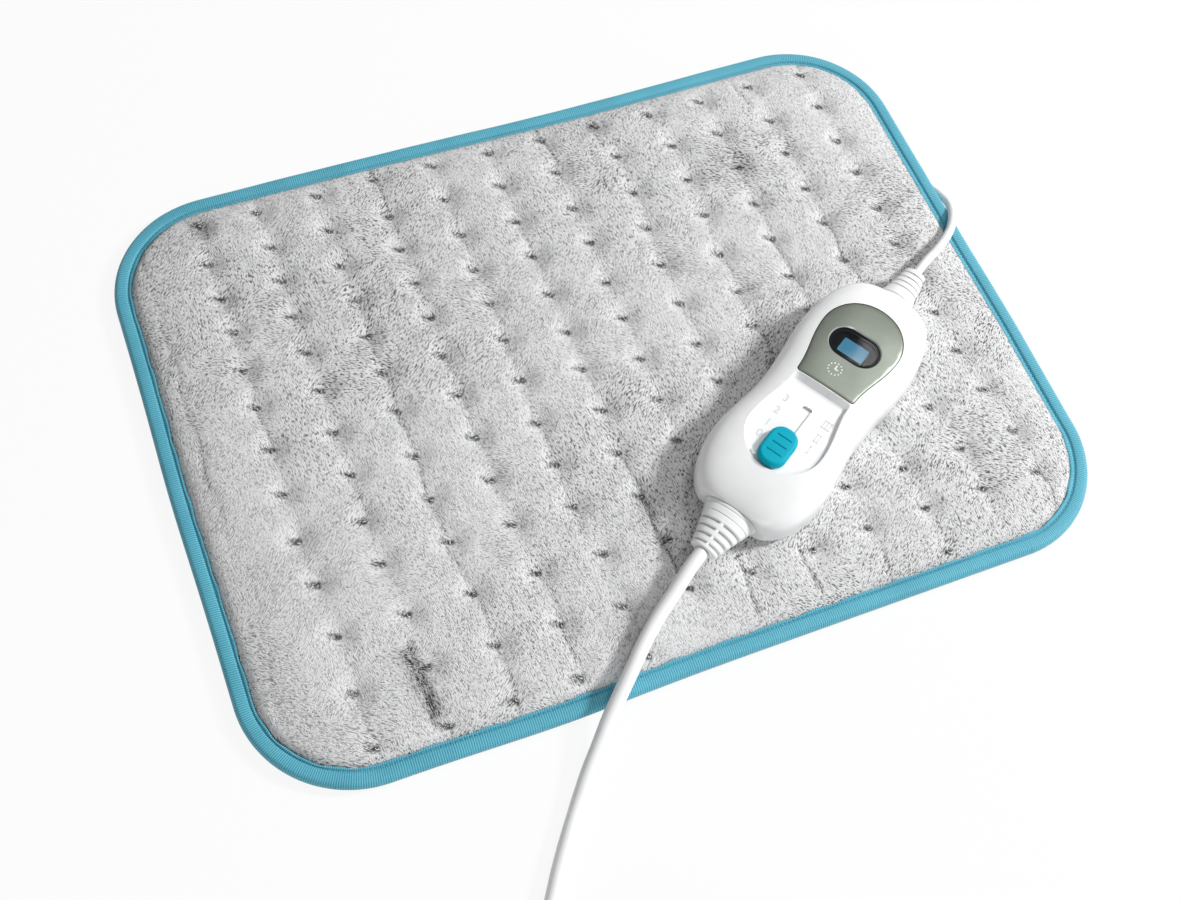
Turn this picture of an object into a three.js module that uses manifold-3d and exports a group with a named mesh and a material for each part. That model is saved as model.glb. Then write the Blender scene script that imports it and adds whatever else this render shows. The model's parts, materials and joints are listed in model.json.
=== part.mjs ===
// Heating pad with a slide controller, its two cords and a flat plug.
// Millimetres, +Z up. The origin is on the floor below the middle of the pad, X along the pad's long side.
import * as THREE from "three";
import { mergeVertices } from "three/addons/utils/BufferGeometryUtils.js";
import Module from "manifold-3d";

const wasm = await Module();
wasm.setup();

// Clearances
const FIT_GAP = 0.3;
const LAYER_GAP = 0.2;

// Pad outline and its layers
const PAD_LENGTH = 400;
const PAD_WIDTH = 300;
const PAD_CORNER = 51;
const BINDING_WIDTH = 9.2;
const BINDING_HEIGHT = 6.4;
const BINDING_WALL = 1.3;
const BINDING_GROOVE = 0.9;
const BINDING_GROOVE_PLACE = 5.7;
const BINDING_ROUND = 2.3;
const BINDING_SIDE_LOW = 0.35;
const BOTTOM_COVER_THICKNESS = 1.6;
const LOWER_WADDING_THICKNESS = 1.2;
const CARRIER_THICKNESS = 0.5;
const HEATING_WIRE_DIAMETER = 1.4;
const UPPER_WADDING_THICKNESS = 0.8;
const COVER_RIM_WIDTH = 13;
const PAD_CORNER_STEPS = 12;
const CORNER_STEPS = 6;
const SMALL_CORNER_STEPS = 3;

// Quilting of the top cover
const TUFT_COLUMNS = 12;
const TUFT_ROWS = 13;
const TUFT_PITCH_X = 29;
const TUFT_PITCH_Y = 22.4;
const TUFT_CENTRE_X = 5.2;
const TUFT_CENTRE_Y = -3;
const TUFT_COVER_THICKNESS = 1.1;
const QUILT_RELIEF = 3.6;
const CREASE_SHARE = 0.62;
const RIDGE_SHARE = 0.86;
const EDGE_STAND = 0.5;
const CROWN_REACH = 26;

// Heating wire
const WIRE_ROWS = 10;
const WIRE_SIDE_MARGIN = 42;
const WIRE_END_MARGIN = 50;
const WIRE_ARC_STEPS = 6;
const LEAD_MARGIN = 26;
const CUTOUT_LENGTH = 10;
const CUTOUT_WIDTH = 5;

// Cord entry of the pad
const ENTRY_PLACE_Y = 50;
const JUNCTION_LENGTH = 26;
const JUNCTION_WIDTH = 16;
const JUNCTION_CORNER = 3;
const GLAND_LENGTH = 7.4;
const GLAND_WIDTH = 10;
const GLAND_HEIGHT = 5;
const GLAND_AXIS_Z = 3.5;

// Controller place and housing
const CONTROLLER_MARGIN = 119;
const CONTROLLER_Y = -56.4;
const CONTROLLER_TURN = THREE.MathUtils.degToRad(32.4);
const HOUSING_LENGTH = 143.5;
const HOUSING_WAIST = 52.4;
const HOUSING_LOWER_LOBE = 65.5;
const HOUSING_UPPER_LOBE = 61;
const WAIST_PLACE = -5.3;
const WAIST_REACH = 30;
const HOUSING_HEIGHT = 22.5;
const PARTING_HEIGHT = 7;
const HOUSING_WALL = 2.2;
const OUTLINE_POWER = 3.2;
const DOME_POWER = 3.4;
const BASE_FILLET = 5;
const MAINS_END_CUT = 3;
const PAD_END_CUT = 2;
const OUTLINE_STEPS = 36;
const DOME_STEPS = 6;
const CAVITY_STEPS = 3;
const TRAY_STEPS = 3;
const CROWN_SCALE = 0.04;

// Fascia, window and switch panel
const FASCIA_START = 2.8;
const FASCIA_LENGTH = 51.5;
const FASCIA_WIDTH = 39;
const FASCIA_FOOT = 29.5;
const FASCIA_THICKNESS = 1.1;
const FOOT_PULL = 12;
const ROUND_PULL = 13;
const WINDOW_PLACE = 28.8;
const WINDOW_LENGTH = 16;
const WINDOW_WIDTH = 24.4;
const WINDOW_CORNER = 7.7;
const WINDOW_LEDGE = 1.6;
const WINDOW_SINK = 0.9;
const WINDOW_THICKNESS = 1.5;
const PANEL_END = 0.5;
const PANEL_LENGTH = 47.5;
const PANEL_WIDTH = 36.5;
const PANEL_FOOT = 28;
const PANEL_DEPTH = 2.6;
const PANEL_WALL = 1;

// Slide switch
const SLIDE_PLACE = -36;
const SLIDE_TRAVEL = 22;
const KNOB_LENGTH = 20.4;
const KNOB_WIDTH = 13.6;
const KNOB_CORNER = 6.2;
const KNOB_HEIGHT = 4.2;
const KNOB_EDGE = 1.4;
const GRIP_PITCH = 4.4;
const GRIP_WIDTH = 0.7;
const GRIP_DEPTH = 0.8;
const STEM_LENGTH = 8;
const STEM_WIDTH = 4;
const SLOT_CORNER = 1;
const CARRIER_PLATE_WIDTH = 12;
const CARRIER_PLATE_THICKNESS = 2.2;
const SWITCH_BASE_WIDTH = 10;
const SWITCH_BASE_HEIGHT = 3;
const WIPER_WIDTH = 6;
const WIPER_THICKNESS = 0.5;

// Circuit board and what stands on it
const BOARD_LENGTH = 88;
const BOARD_WIDTH = 40;
const BOARD_CORNER = 3;
const BOARD_THICKNESS = 1.6;
const BOARD_HEIGHT = 6.4;
const POST_DIAMETER = 6;
const POST_PLACE_X = 38;
const POST_PLACE_Y = 15;
const DISPLAY_LENGTH = 12;
const DISPLAY_WIDTH = 18;
const TERMINAL_LENGTH = 8;
const TERMINAL_WIDTH = 11;
const TERMINAL_HEIGHT = 7;
const TERMINAL_PLACE_X = 39.6;
const MAINS_TERMINAL_Y = 11;
const PAD_TERMINAL_Y = 0;
const CORE_SPACING = 4;
const FUSE_LENGTH = 20;
const FUSE_DIAMETER = 5.2;
const FUSE_PLACE_X = 25;
const FUSE_PLACE_Y = 15;
const BOARD_PART_CLEARANCE = 1.9;
const boardParts = [
  { name: "capacitor", place: [-22, 13], size: [17, 7], look: "film" },
  { name: "relay", place: [-20, -13], size: [19, 9], look: "black" },
  { name: "triac", place: [4, -13], size: [10, 4.5], look: "black" },
  { name: "heat_sink", place: [4, -17.2], size: [16, 2], look: "metal" },
  { name: "control_chip", place: [4, 12], size: [10, 7], height: 1.8, look: "black" },
];

// Housing screws
const BOSS_DIAMETER = 7;
const BOSS_PLACE_X = 53;
const BOSS_PLACE_Y = 14;
const SCREW_DIAMETER = 2.6;
const SCREW_LENGTH = 11;
const SCREW_HEAD_DIAMETER = 5;
const SCREW_HEAD_HEIGHT = 1.8;
const SCREW_SINK = 1;

// Cord boots of the controller
const BOOT_AXIS_HEIGHT = 8;
const MAINS_BOOT_LENGTH = 22;
const MAINS_BOOT_WIDTH = 27;
const MAINS_BOOT_HEIGHT = 15;
const MAINS_BOOT_TIP = 12.6;
const MAINS_BOOT_RIBS = 5;
const PAD_BOOT_LENGTH = 22;
const PAD_BOOT_WIDTH = 20;
const PAD_BOOT_HEIGHT = 13;
const PAD_BOOT_TIP = 10.4;
const PAD_BOOT_RIBS = 4;
const BOOT_GROOVE_DEPTH = 0.9;
const RIB_SHARE = 0.7;
const RIB_TAPER = 0.4;
const BOOT_HOLLOWNESS = 0.8;
const BOOT_TIP_WALL = 1;
const NECK_WIDTH = 11;
const NECK_HEIGHT = 8.4;
const FLANGE_WIDTH = 15;
const FLANGE_HEIGHT = 10.4;
const FLANGE_THICKNESS = 2.4;
const END_WALL = 3;
const BOOT_SIDES = 14;

// Cords
const PAD_CORD_DIAMETER = 4.3;
const MAINS_CORD_DIAMETER = 6.6;
const CORD_SIDES = 8;
const PAD_CORD_STEPS = 16;
const MAINS_CORD_STEPS = 18;
const TAIL_STEPS = 8;
const CORE_DIAMETER = 1.8;
const COIL_PITCH = 7.3;
const COIL_LAYER = 7.3;
const COIL_INNER_RADIUS = 27;
const COIL_WHOLE_TURNS = 6;
const COIL_STEPS_PER_TURN = 24;
const COIL_SIDES = 6;
const COIL_START_ANGLE = THREE.MathUtils.degToRad(146);
const COIL_END_ANGLE = THREE.MathUtils.degToRad(270);
const TIE_WIDTH = 10;
const TIE_THICKNESS = 0.6;
const TIE_CORNER = 2;
const TIE_ANGLE = THREE.MathUtils.degToRad(20);

// Plug
const PLUG_LENGTH = 34;
const PLUG_WIDTH = 35;
const PLUG_HEIGHT = 14;
const PLUG_NECK_WIDTH = 14;
const PLUG_SHOULDER = 20;
const PLUG_NECK_PULL = 8;
const PLUG_BOOT_LENGTH = 24;
const PLUG_BOOT_RIBS = 4;
const PLUG_BOOT_WALL = 1.2;
const PLUG_BOOT_STEP = 1;
const PIN_DIAMETER = 4;
const PIN_LENGTH = 19;
const PIN_SPACING = 18.6;
const PIN_SOCKET = 6;

// Places along the pad's length
const LEAD_PLACE_X = PAD_LENGTH / 2 - LEAD_MARGIN;
const CONTROLLER_X = PAD_LENGTH / 2 - CONTROLLER_MARGIN;

// Heights of the pad's layers
const LOWER_WADDING_Z = BOTTOM_COVER_THICKNESS + LAYER_GAP;
const CARRIER_Z = LOWER_WADDING_Z + LOWER_WADDING_THICKNESS + LAYER_GAP;
const WIRE_Z = CARRIER_Z + CARRIER_THICKNESS + LAYER_GAP;
const UPPER_WADDING_Z = WIRE_Z + HEATING_WIRE_DIAMETER + LAYER_GAP;
const TOP_COVER_Z = UPPER_WADDING_Z + UPPER_WADDING_THICKNESS + LAYER_GAP;
const TUFT_Z = TOP_COVER_Z + TUFT_COVER_THICKNESS;
const CROWN_Z = TUFT_Z + QUILT_RELIEF;
const COVER_INSET = BINDING_WALL + FIT_GAP;
const RIM_MIDDLE_Z = BINDING_HEIGHT / 2;
const CONTROLLER_Z = CROWN_Z + FIT_GAP;

// Finishes
const finish = (color, roughness, metalness = 0) =>
  new THREE.MeshStandardMaterial({ color, roughness, metalness });
const FINISHES = {
  plush: () => finish(0xc4c5c7, 0.95),
  fleece: () => finish(0xd2d3d5, 0.95),
  tape: () => finish(0x43b4d0, 0.7),
  wadding: () => finish(0xefefea, 0.95),
  gloss: () => finish(0xf4f5f6, 0.25),
  fascia: () => finish(0x8a9088, 0.4, 0.3),
  lens: () => finish(0x101214, 0.08),
  display: () => finish(0x2f8fd0, 0.3),
  knob: () => finish(0x00aec6, 0.4),
  film: () => finish(0x3a5fb0, 0.4),
  board: () => finish(0x2c6b3a, 0.6),
  black: () => finish(0x1b1c1e, 0.5),
  metal: () => finish(0xb9bcc0, 0.35, 0.9),
  copper: () => finish(0xb5713c, 0.4, 0.8),
  cord: () => finish(0xf1f2f3, 0.4),
  core: () => finish(0x7a5232, 0.5),
};

// Turns a closed geometry into a solid that can be joined and cut.
function solidOf(geometry) {
  const bare = geometry.clone();
  bare.deleteAttribute("normal");
  bare.deleteAttribute("uv");
  const merged = mergeVertices(bare, 1e-4);
  return new wasm.Manifold(
    new wasm.Mesh({
      numProp: 3,
      vertProperties: new Float32Array(merged.attributes.position.array),
      triVerts: new Uint32Array(merged.index.array),
    }),
  );
}

// Turns a solid back into a geometry.
function geometryOf(solid) {
  const mesh = solid.getMesh();
  const geometry = new THREE.BufferGeometry();
  geometry.setAttribute("position", new THREE.BufferAttribute(mesh.vertProperties, 3));
  geometry.setIndex(new THREE.BufferAttribute(mesh.triVerts, 1));
  geometry.computeVertexNormals();
  return geometry;
}

const joined = (first, ...rest) => rest.reduce((sum, piece) => sum.add(piece), first);
const without = (first, ...rest) => rest.reduce((left, piece) => left.subtract(piece), first);

// A plate of a flat outline between two heights.
function plate(shape, bottom, top) {
  const options = { depth: top - bottom, bevelEnabled: false, curveSegments: CORNER_STEPS };
  const geometry = new THREE.ExtrudeGeometry(shape, options);
  return geometry.translate(0, 0, bottom);
}

// A box between two opposite corners.
function block(low, high) {
  const size = [0, 1, 2].map((axis) => high[axis] - low[axis]);
  const middle = [0, 1, 2].map((axis) => (high[axis] + low[axis]) / 2);
  return new THREE.BoxGeometry(...size).translate(...middle);
}

// A rod of round section that stands upright between two heights.
function rod(x, y, bottom, top, diameter, sides = 8) {
  const geometry = new THREE.CylinderGeometry(diameter / 2, diameter / 2, top - bottom, sides);
  return geometry.rotateX(Math.PI / 2).translate(x, y, (top + bottom) / 2);
}

// Points round a rectangle with round corners, centred on a point.
function roundedPoints(length, width, radius, x = 0, y = 0, steps = CORNER_STEPS) {
  const corners = [[1, -1], [1, 1], [-1, 1], [-1, -1]];
  return corners.flatMap(([sideX, sideY], corner) =>
    Array.from({ length: steps + 1 }, (_, step) => {
      const angle = ((corner - 1 + step / steps) * Math.PI) / 2;
      return new THREE.Vector2(
        x + sideX * (length / 2 - radius) + radius * Math.cos(angle),
        y + sideY * (width / 2 - radius) + radius * Math.sin(angle),
      );
    }),
  );
}

const roundedRectangle = (...sizes) => new THREE.Shape(roundedPoints(...sizes));

// The pad's outline drawn in by an inset.
const padPoints = (inset) =>
  roundedPoints(PAD_LENGTH - 2 * inset, PAD_WIDTH - 2 * inset, PAD_CORNER - inset, 0, 0, PAD_CORNER_STEPS);
const padOutline = (inset) => new THREE.Shape(padPoints(inset));

// A closed surface through rings of equal point counts, with a fan over each end.
function closedLoft(rings) {
  const count = rings[0].length;
  const middleOf = (ring) => {
    const sum = ring.reduce((total, point) => total.add(point), new THREE.Vector3());
    return sum.divideScalar(count);
  };
  const points = [middleOf(rings[0]), ...rings.flat(), middleOf(rings[rings.length - 1])];
  const last = points.length - 1;
  const index = [];
  for (let side = 0; side < count; side += 1) {
    const next = (side + 1) % count;
    index.push(0, 1 + next, 1 + side);
    for (let ring = 0; ring < rings.length - 1; ring += 1) {
      const here = 1 + ring * count;
      const above = here + count;
      index.push(here + side, here + next, above + next);
      index.push(here + side, above + next, above + side);
    }
    const top = last - count;
    index.push(last, top + side, top + next);
  }
  const geometry = new THREE.BufferGeometry().setFromPoints(points);
  geometry.setIndex(index);
  return geometry;
}

// An oval body along X: each station gives its place, half width and half height.
function ovalBody(stations, height, sides = BOOT_SIDES) {
  const rings = stations.map(([x, halfWidth, halfHeight]) =>
    Array.from({ length: sides }, (_, side) => {
      const angle = (2 * Math.PI * side) / sides;
      return new THREE.Vector3(x, halfWidth * Math.cos(angle), height + halfHeight * Math.sin(angle));
    }),
  );
  return closedLoft(rings);
}

// A tube of round section along a curve.
function tube(curve, diameter, steps, sides = CORD_SIDES) {
  const section = new THREE.Shape();
  for (let side = 0; side < sides; side += 1) {
    const angle = (2 * Math.PI * side) / sides;
    const point = [(diameter / 2) * Math.cos(angle), (diameter / 2) * Math.sin(angle)];
    if (side === 0) section.moveTo(...point);
    else section.lineTo(...point);
  }
  section.closePath();
  return new THREE.ExtrudeGeometry(section, { steps, extrudePath: curve, bevelEnabled: false });
}

// A smooth curve through points given as plain lists.
const curveThrough = (points) =>
  new THREE.CatmullRomCurve3(points.map((point) => new THREE.Vector3(...point)), false, "centripetal");

// The group that holds every piece, and the turned group of the controller.
const heatingPad = new THREE.Group();
const controller = new THREE.Group();
controller.position.set(CONTROLLER_X, CONTROLLER_Y, CONTROLLER_Z);
controller.rotation.z = CONTROLLER_TURN;
heatingPad.add(controller);

function addPiece(parent, name, geometry, material) {
  const mesh = new THREE.Mesh(geometry, material);
  mesh.name = name;
  parent.add(mesh);
}

const addToPad = (name, geometry, material) => addPiece(heatingPad, name, geometry, material);
const addToController = (name, geometry, material) => addPiece(controller, name, geometry, material);

// A point of the controller given in the pad's frame.
function fromController(x, y, z) {
  const point = new THREE.Vector3(x, y, z).applyAxisAngle(new THREE.Vector3(0, 0, 1), CONTROLLER_TURN);
  return [point.x + CONTROLLER_X, point.y + CONTROLLER_Y, point.z + CONTROLLER_Z];
}

// Points of a cord's lay, given from the pad's edge, the controller or the coil.
const fromEdge = (x, y, z) => [PAD_LENGTH / 2 + x, y, z];
const besideController = (x, y, z) => [CONTROLLER_X + x, CONTROLLER_Y + y, z];
const besideCoil = (x, y, z) => [COIL_CENTRE.x + x, COIL_CENTRE.y + y, z];

// Cord routes: the ends follow the boots, the points between them are chosen along each lay.
const MAINS_BOOT_END = -HOUSING_LENGTH / 2 + MAINS_END_CUT - MAINS_BOOT_LENGTH;
const PAD_BOOT_END = HOUSING_LENGTH / 2 - PAD_END_CUT + PAD_BOOT_LENGTH;
const JUNCTION_FACE_X = LEAD_PLACE_X + JUNCTION_WIDTH / 2;
const GLAND_FACE_X = JUNCTION_FACE_X + FIT_GAP + GLAND_LENGTH;
const padCordRoute = [
  fromController(PAD_BOOT_END + FIT_GAP, 0, BOOT_AXIS_HEIGHT),
  fromController(PAD_BOOT_END + 9, 0, BOOT_AXIS_HEIGHT - 0.3),
  fromEdge(-25.2, 2.4, 17.6),
  fromEdge(-19.2, 6.3, 16),
  fromEdge(-13.2, 10.8, 13.8),
  fromEdge(-7.4, 16.1, 11.4),
  fromEdge(-2.2, 22.6, 8.8),
  fromEdge(1.4, 29, 6.2),
  fromEdge(3, 33.4, 4.4),
  fromEdge(3.3, 37.4, 3.3),
  fromEdge(2.5, 41.6, 3),
  fromEdge(0.9, 45.6, 3),
  fromEdge(-2.3, 48.8, 3.3),
  [GLAND_FACE_X + 3, ENTRY_PLACE_Y, GLAND_AXIS_Z],
  [GLAND_FACE_X + FIT_GAP, ENTRY_PLACE_Y, GLAND_AXIS_Z],
];
const FLOOR_LAY_Z = MAINS_CORD_DIAMETER / 2;
const COIL_BASE_Z = FLOOR_LAY_Z + TIE_THICKNESS + FIT_GAP;
const COIL_CENTRE = new THREE.Vector3(CONTROLLER_X - 172.2, CONTROLLER_Y - 227.8, COIL_BASE_Z);
const COIL_TURNS = COIL_WHOLE_TURNS + (COIL_END_ANGLE - COIL_START_ANGLE) / (2 * Math.PI);
const COIL_OUTER_RADIUS = COIL_INNER_RADIUS + (COIL_PITCH * COIL_TURNS) / 2;

// The put away length: a spiral in on the floor and out again on top of it, with straight ends.
class PileCurve extends THREE.Curve {
  constructor() {
    super();
    this.arcLengthDivisions = 3000;
    this.straightTurns = MAINS_CORD_DIAMETER / (2 * Math.PI * COIL_OUTER_RADIUS);
  }
  spiralPoint(turn) {
    const fromMiddle = turn - COIL_TURNS / 2;
    const radius = COIL_INNER_RADIUS + COIL_PITCH * Math.abs(fromMiddle);
    const climb = COIL_LAYER * THREE.MathUtils.smoothstep(fromMiddle, -0.25, 0.25);
    const angle = COIL_START_ANGLE + 2 * Math.PI * turn;
    return new THREE.Vector3(radius * Math.cos(angle), radius * Math.sin(angle), climb).add(COIL_CENTRE);
  }
  getPoint(share, target = new THREE.Vector3()) {
    const turn = share * (COIL_TURNS + 2 * this.straightTurns) - this.straightTurns;
    const onSpiral = THREE.MathUtils.clamp(turn, 0, COIL_TURNS);
    const angle = COIL_START_ANGLE + 2 * Math.PI * onSpiral;
    const along = new THREE.Vector3(-Math.sin(angle), Math.cos(angle), 0);
    const reach = (turn - onSpiral) * 2 * Math.PI * COIL_OUTER_RADIUS;
    return target.copy(this.spiralPoint(onSpiral)).addScaledVector(along, reach);
  }
}

const pile = new PileCurve();
const alongPile = (share, reach) =>
  pile.getPoint(share).addScaledVector(pile.getTangent(share), reach).toArray();
const pileEnd = alongPile(1, FIT_GAP);
const mainsRoute = [
  fromController(MAINS_BOOT_END - FIT_GAP, 0, BOOT_AXIS_HEIGHT),
  fromController(MAINS_BOOT_END - 9, 0, BOOT_AXIS_HEIGHT - 0.4),
  besideController(-95.4, -61.7, 17.2),
  besideController(-105.2, -68.8, 15.9),
  besideController(-114.4, -76.6, 15.1),
  besideController(-122.8, -84.8, 14.5),
  besideController(-130.8, -92.4, 12.9),
  besideController(-138.6, -99.9, 10.3),
  besideController(-147, -109, 7.2),
  besideController(-155.6, -118.4, 4.8),
  besideController(-163.4, -128, 3.6),
  besideController(-171.2, -138, 3.5),
  besideController(-178.6, -148, 3.5),
  besideController(-185.6, -158.4, 3.6),
  besideController(-192.2, -168.2, 3.9),
  besideController(-198.6, -177.7, 4.1),
  alongPile(0, -8),
  alongPile(0, -FIT_GAP),
];
const plugAxisZ = PLUG_HEIGHT / 2;
const PLUG_BOOT_TIP_X = COIL_CENTRE.x + 71.2;
const PLUG_PLACE_Y = COIL_CENTRE.y - 40.2;
const tailRoute = [
  pileEnd,
  besideCoil(16.7, -50, 10.6),
  besideCoil(27.2, -49, 8),
  besideCoil(37.2, -47, 5.6),
  besideCoil(47.2, -44.4, 4.6),
  besideCoil(56.2, -42, 5.2),
  besideCoil(64.2, -40.6, 6.6),
  [PLUG_BOOT_TIP_X - FIT_GAP, PLUG_PLACE_Y, plugAxisZ],
];

// The pad's covers, with a pocket for the cord entry.
const padCordCurve = curveThrough(padCordRoute);
const entryChannel = solidOf(tube(padCordCurve, PAD_CORD_DIAMETER + 2 * FIT_GAP, PAD_CORD_STEPS));
const glandHalfWidth = GLAND_WIDTH / 2 + FIT_GAP;
const glandHalfHeight = GLAND_HEIGHT / 2 + FIT_GAP;
const glandPocket = solidOf(
  block(
    [JUNCTION_FACE_X - FIT_GAP, ENTRY_PLACE_Y - glandHalfWidth, GLAND_AXIS_Z - glandHalfHeight],
    [GLAND_FACE_X + FIT_GAP, ENTRY_PLACE_Y + glandHalfWidth, GLAND_AXIS_Z + glandHalfHeight],
  ),
);
const junctionHalf = JUNCTION_LENGTH / 2;
const junctionBackX = LEAD_PLACE_X - JUNCTION_WIDTH / 2;
const junctionPocket = solidOf(
  block(
    [junctionBackX - FIT_GAP, ENTRY_PLACE_Y - junctionHalf - FIT_GAP, LOWER_WADDING_Z - LAYER_GAP],
    [PAD_LENGTH / 2, ENTRY_PLACE_Y + junctionHalf + FIT_GAP, TOP_COVER_Z],
  ),
);

function bottomCover() {
  const rimTop = RIM_MIDDLE_Z - LAYER_GAP / 2;
  const rim = solidOf(plate(padOutline(COVER_INSET), BINDING_WALL + LAYER_GAP, rimTop));
  const dish = solidOf(plate(padOutline(BINDING_WIDTH + FIT_GAP), 0, rimTop));
  const hollow = solidOf(plate(padOutline(COVER_RIM_WIDTH), BOTTOM_COVER_THICKNESS, BINDING_HEIGHT));
  return geometryOf(without(joined(rim, dish), hollow, entryChannel, glandPocket));
}

// How far a point lies inside the pad's edge.
function edgeInset(x, y) {
  const sideX = Math.abs(x) - (PAD_LENGTH / 2 - PAD_CORNER);
  const sideY = Math.abs(y) - (PAD_WIDTH / 2 - PAD_CORNER);
  const corner = Math.hypot(Math.max(sideX, 0), Math.max(sideY, 0));
  return PAD_CORNER - corner - Math.min(Math.max(sideX, sideY), 0);
}

// Grid lines through the tufts and midway between them, with one past each edge of the cover.
function quiltLines(count, pitch, centre, reach) {
  const first = centre - ((count - 1) * pitch) / 2;
  const lines = [{ place: -reach, tuft: false }];
  if (first + reach > pitch) lines.push({ place: first - pitch / 2, tuft: false });
  for (let line = 0; line < 2 * count - 1; line += 1) {
    lines.push({ place: first + (line * pitch) / 2, tuft: line % 2 === 0 });
  }
  const last = first + (count - 1) * pitch;
  if (reach - last > pitch) lines.push({ place: last + pitch / 2, tuft: false });
  lines.push({ place: reach, tuft: false });
  return lines;
}

// The quilted top: low at each tuft, part way up along the creases, full between them.
function quiltHeight(column, row) {
  const edge = BINDING_HEIGHT + EDGE_STAND;
  const inset = edgeInset(column.place, row.place) - BINDING_WIDTH;
  const fullness = THREE.MathUtils.smoothstep(inset, -CROWN_REACH, CROWN_REACH);
  const swell = edge + (CROWN_Z - edge) * (2 * fullness - 1);
  let share = 1;
  if (column.tuft && row.tuft) share = 0;
  else if (column.tuft) share = CREASE_SHARE;
  else if (row.tuft) share = RIDGE_SHARE;
  return Math.max(TUFT_Z, swell) - (1 - share) * (Math.max(TUFT_Z, swell) - TUFT_Z);
}

function quiltedBlock(bottom) {
  const columns = quiltLines(TUFT_COLUMNS, TUFT_PITCH_X, TUFT_CENTRE_X, PAD_LENGTH / 2 - COVER_INSET);
  const rows = quiltLines(TUFT_ROWS, TUFT_PITCH_Y, TUFT_CENTRE_Y, PAD_WIDTH / 2 - COVER_INSET);
  const points = [];
  const index = [];
  const at = (column, row) => row * columns.length + column;
  rows.forEach((row) =>
    columns.forEach((column) => {
      points.push(new THREE.Vector3(column.place, row.place, quiltHeight(column, row)));
    }),
  );
  for (let row = 0; row < rows.length - 1; row += 1) {
    for (let column = 0; column < columns.length - 1; column += 1) {
      const [a, b] = [at(column, row), at(column + 1, row)];
      const [c, d] = [at(column + 1, row + 1), at(column, row + 1)];
      const fallsLeft = columns[column].tuft === rows[row].tuft;
      if (fallsLeft) index.push(a, b, c, a, c, d);
      else index.push(a, b, d, b, c, d);
    }
  }
  const border = [];
  columns.forEach((_, column) => border.push(at(column, 0)));
  rows.slice(1).forEach((_, row) => border.push(at(columns.length - 1, row + 1)));
  columns.slice(1).forEach((_, column) => border.push(at(columns.length - 2 - column, rows.length - 1)));
  rows.slice(2).forEach((_, row) => border.push(at(0, rows.length - 2 - row)));
  const foot = points.length;
  border.forEach((top) => points.push(new THREE.Vector3(points[top].x, points[top].y, bottom)));
  const middle = points.length;
  points.push(new THREE.Vector3(0, 0, bottom));
  border.forEach((top, place) => {
    const next = (place + 1) % border.length;
    index.push(foot + place, foot + next, border[next]);
    index.push(foot + place, border[next], top);
    index.push(middle, foot + next, foot + place);
  });
  const geometry = new THREE.BufferGeometry().setFromPoints(points);
  geometry.setIndex(index);
  return geometry;
}

function topCover() {
  const rimBottom = RIM_MIDDLE_Z + LAYER_GAP / 2;
  const rimTop = BINDING_HEIGHT - BINDING_WALL - LAYER_GAP;
  const inside = solidOf(plate(padOutline(BINDING_WIDTH + FIT_GAP), rimBottom, CROWN_Z + 1));
  const quilt = solidOf(quiltedBlock(rimBottom)).intersect(inside);
  const rim = solidOf(plate(padOutline(COVER_INSET), rimBottom, rimTop));
  const hollow = solidOf(plate(padOutline(COVER_RIM_WIDTH), 0, TOP_COVER_Z));
  return geometryOf(without(joined(quilt, rim), hollow, entryChannel, glandPocket));
}

// The binding: a tape folded over the edge, with a sewn groove along its top and underside.
function edgeBinding() {
  const [wide, high, wall] = [BINDING_WIDTH, BINDING_HEIGHT, BINDING_WALL];
  const [grooveAt, groove, round] = [BINDING_GROOVE_PLACE, BINDING_GROOVE, BINDING_ROUND];
  const section = [
    [wide, 0],
    [round, 0],
    [0, BINDING_SIDE_LOW * high],
    [0, (1 - BINDING_SIDE_LOW) * high],
    [round, high],
    [grooveAt - groove, high],
    [grooveAt, high - groove],
    [grooveAt + groove, high],
    [wide, high],
    [wide, high - wall],
    [wall, high - wall],
    [wall, wall],
    [wide, wall],
  ];
  const outlines = section.map(([inset]) => padPoints(inset));
  const count = outlines[0].length;
  const points = [];
  const index = [];
  section.forEach(([, height], ring) =>
    outlines[ring].forEach(({ x, y }) => points.push(new THREE.Vector3(x, y, height))),
  );
  section.forEach((_, ring) => {
    const here = ring * count;
    const above = ((ring + 1) % section.length) * count;
    for (let side = 0; side < count; side += 1) {
      const next = (side + 1) % count;
      index.push(here + side, here + next, above + next, here + side, above + next, above + side);
    }
  });
  const ring = new THREE.BufferGeometry().setFromPoints(points);
  ring.setIndex(index);
  return geometryOf(without(solidOf(ring), entryChannel));
}

// A filling layer of the pad, cut out round the junction.
function layer(bottom, thickness) {
  const sheet = solidOf(plate(padOutline(COVER_RIM_WIDTH + FIT_GAP), bottom, bottom + thickness));
  return geometryOf(without(sheet, junctionPocket));
}

addToPad("bottom_cover", bottomCover(), FINISHES.fleece());
addToPad("lower_wadding", layer(LOWER_WADDING_Z, LOWER_WADDING_THICKNESS), FINISHES.wadding());
addToPad("element_carrier", layer(CARRIER_Z, CARRIER_THICKNESS), FINISHES.fleece());
addToPad("upper_wadding", layer(UPPER_WADDING_Z, UPPER_WADDING_THICKNESS), FINISHES.wadding());
addToPad("top_cover", topCover(), FINISHES.plush());
addToPad("edge_binding", edgeBinding(), FINISHES.tape());

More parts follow.
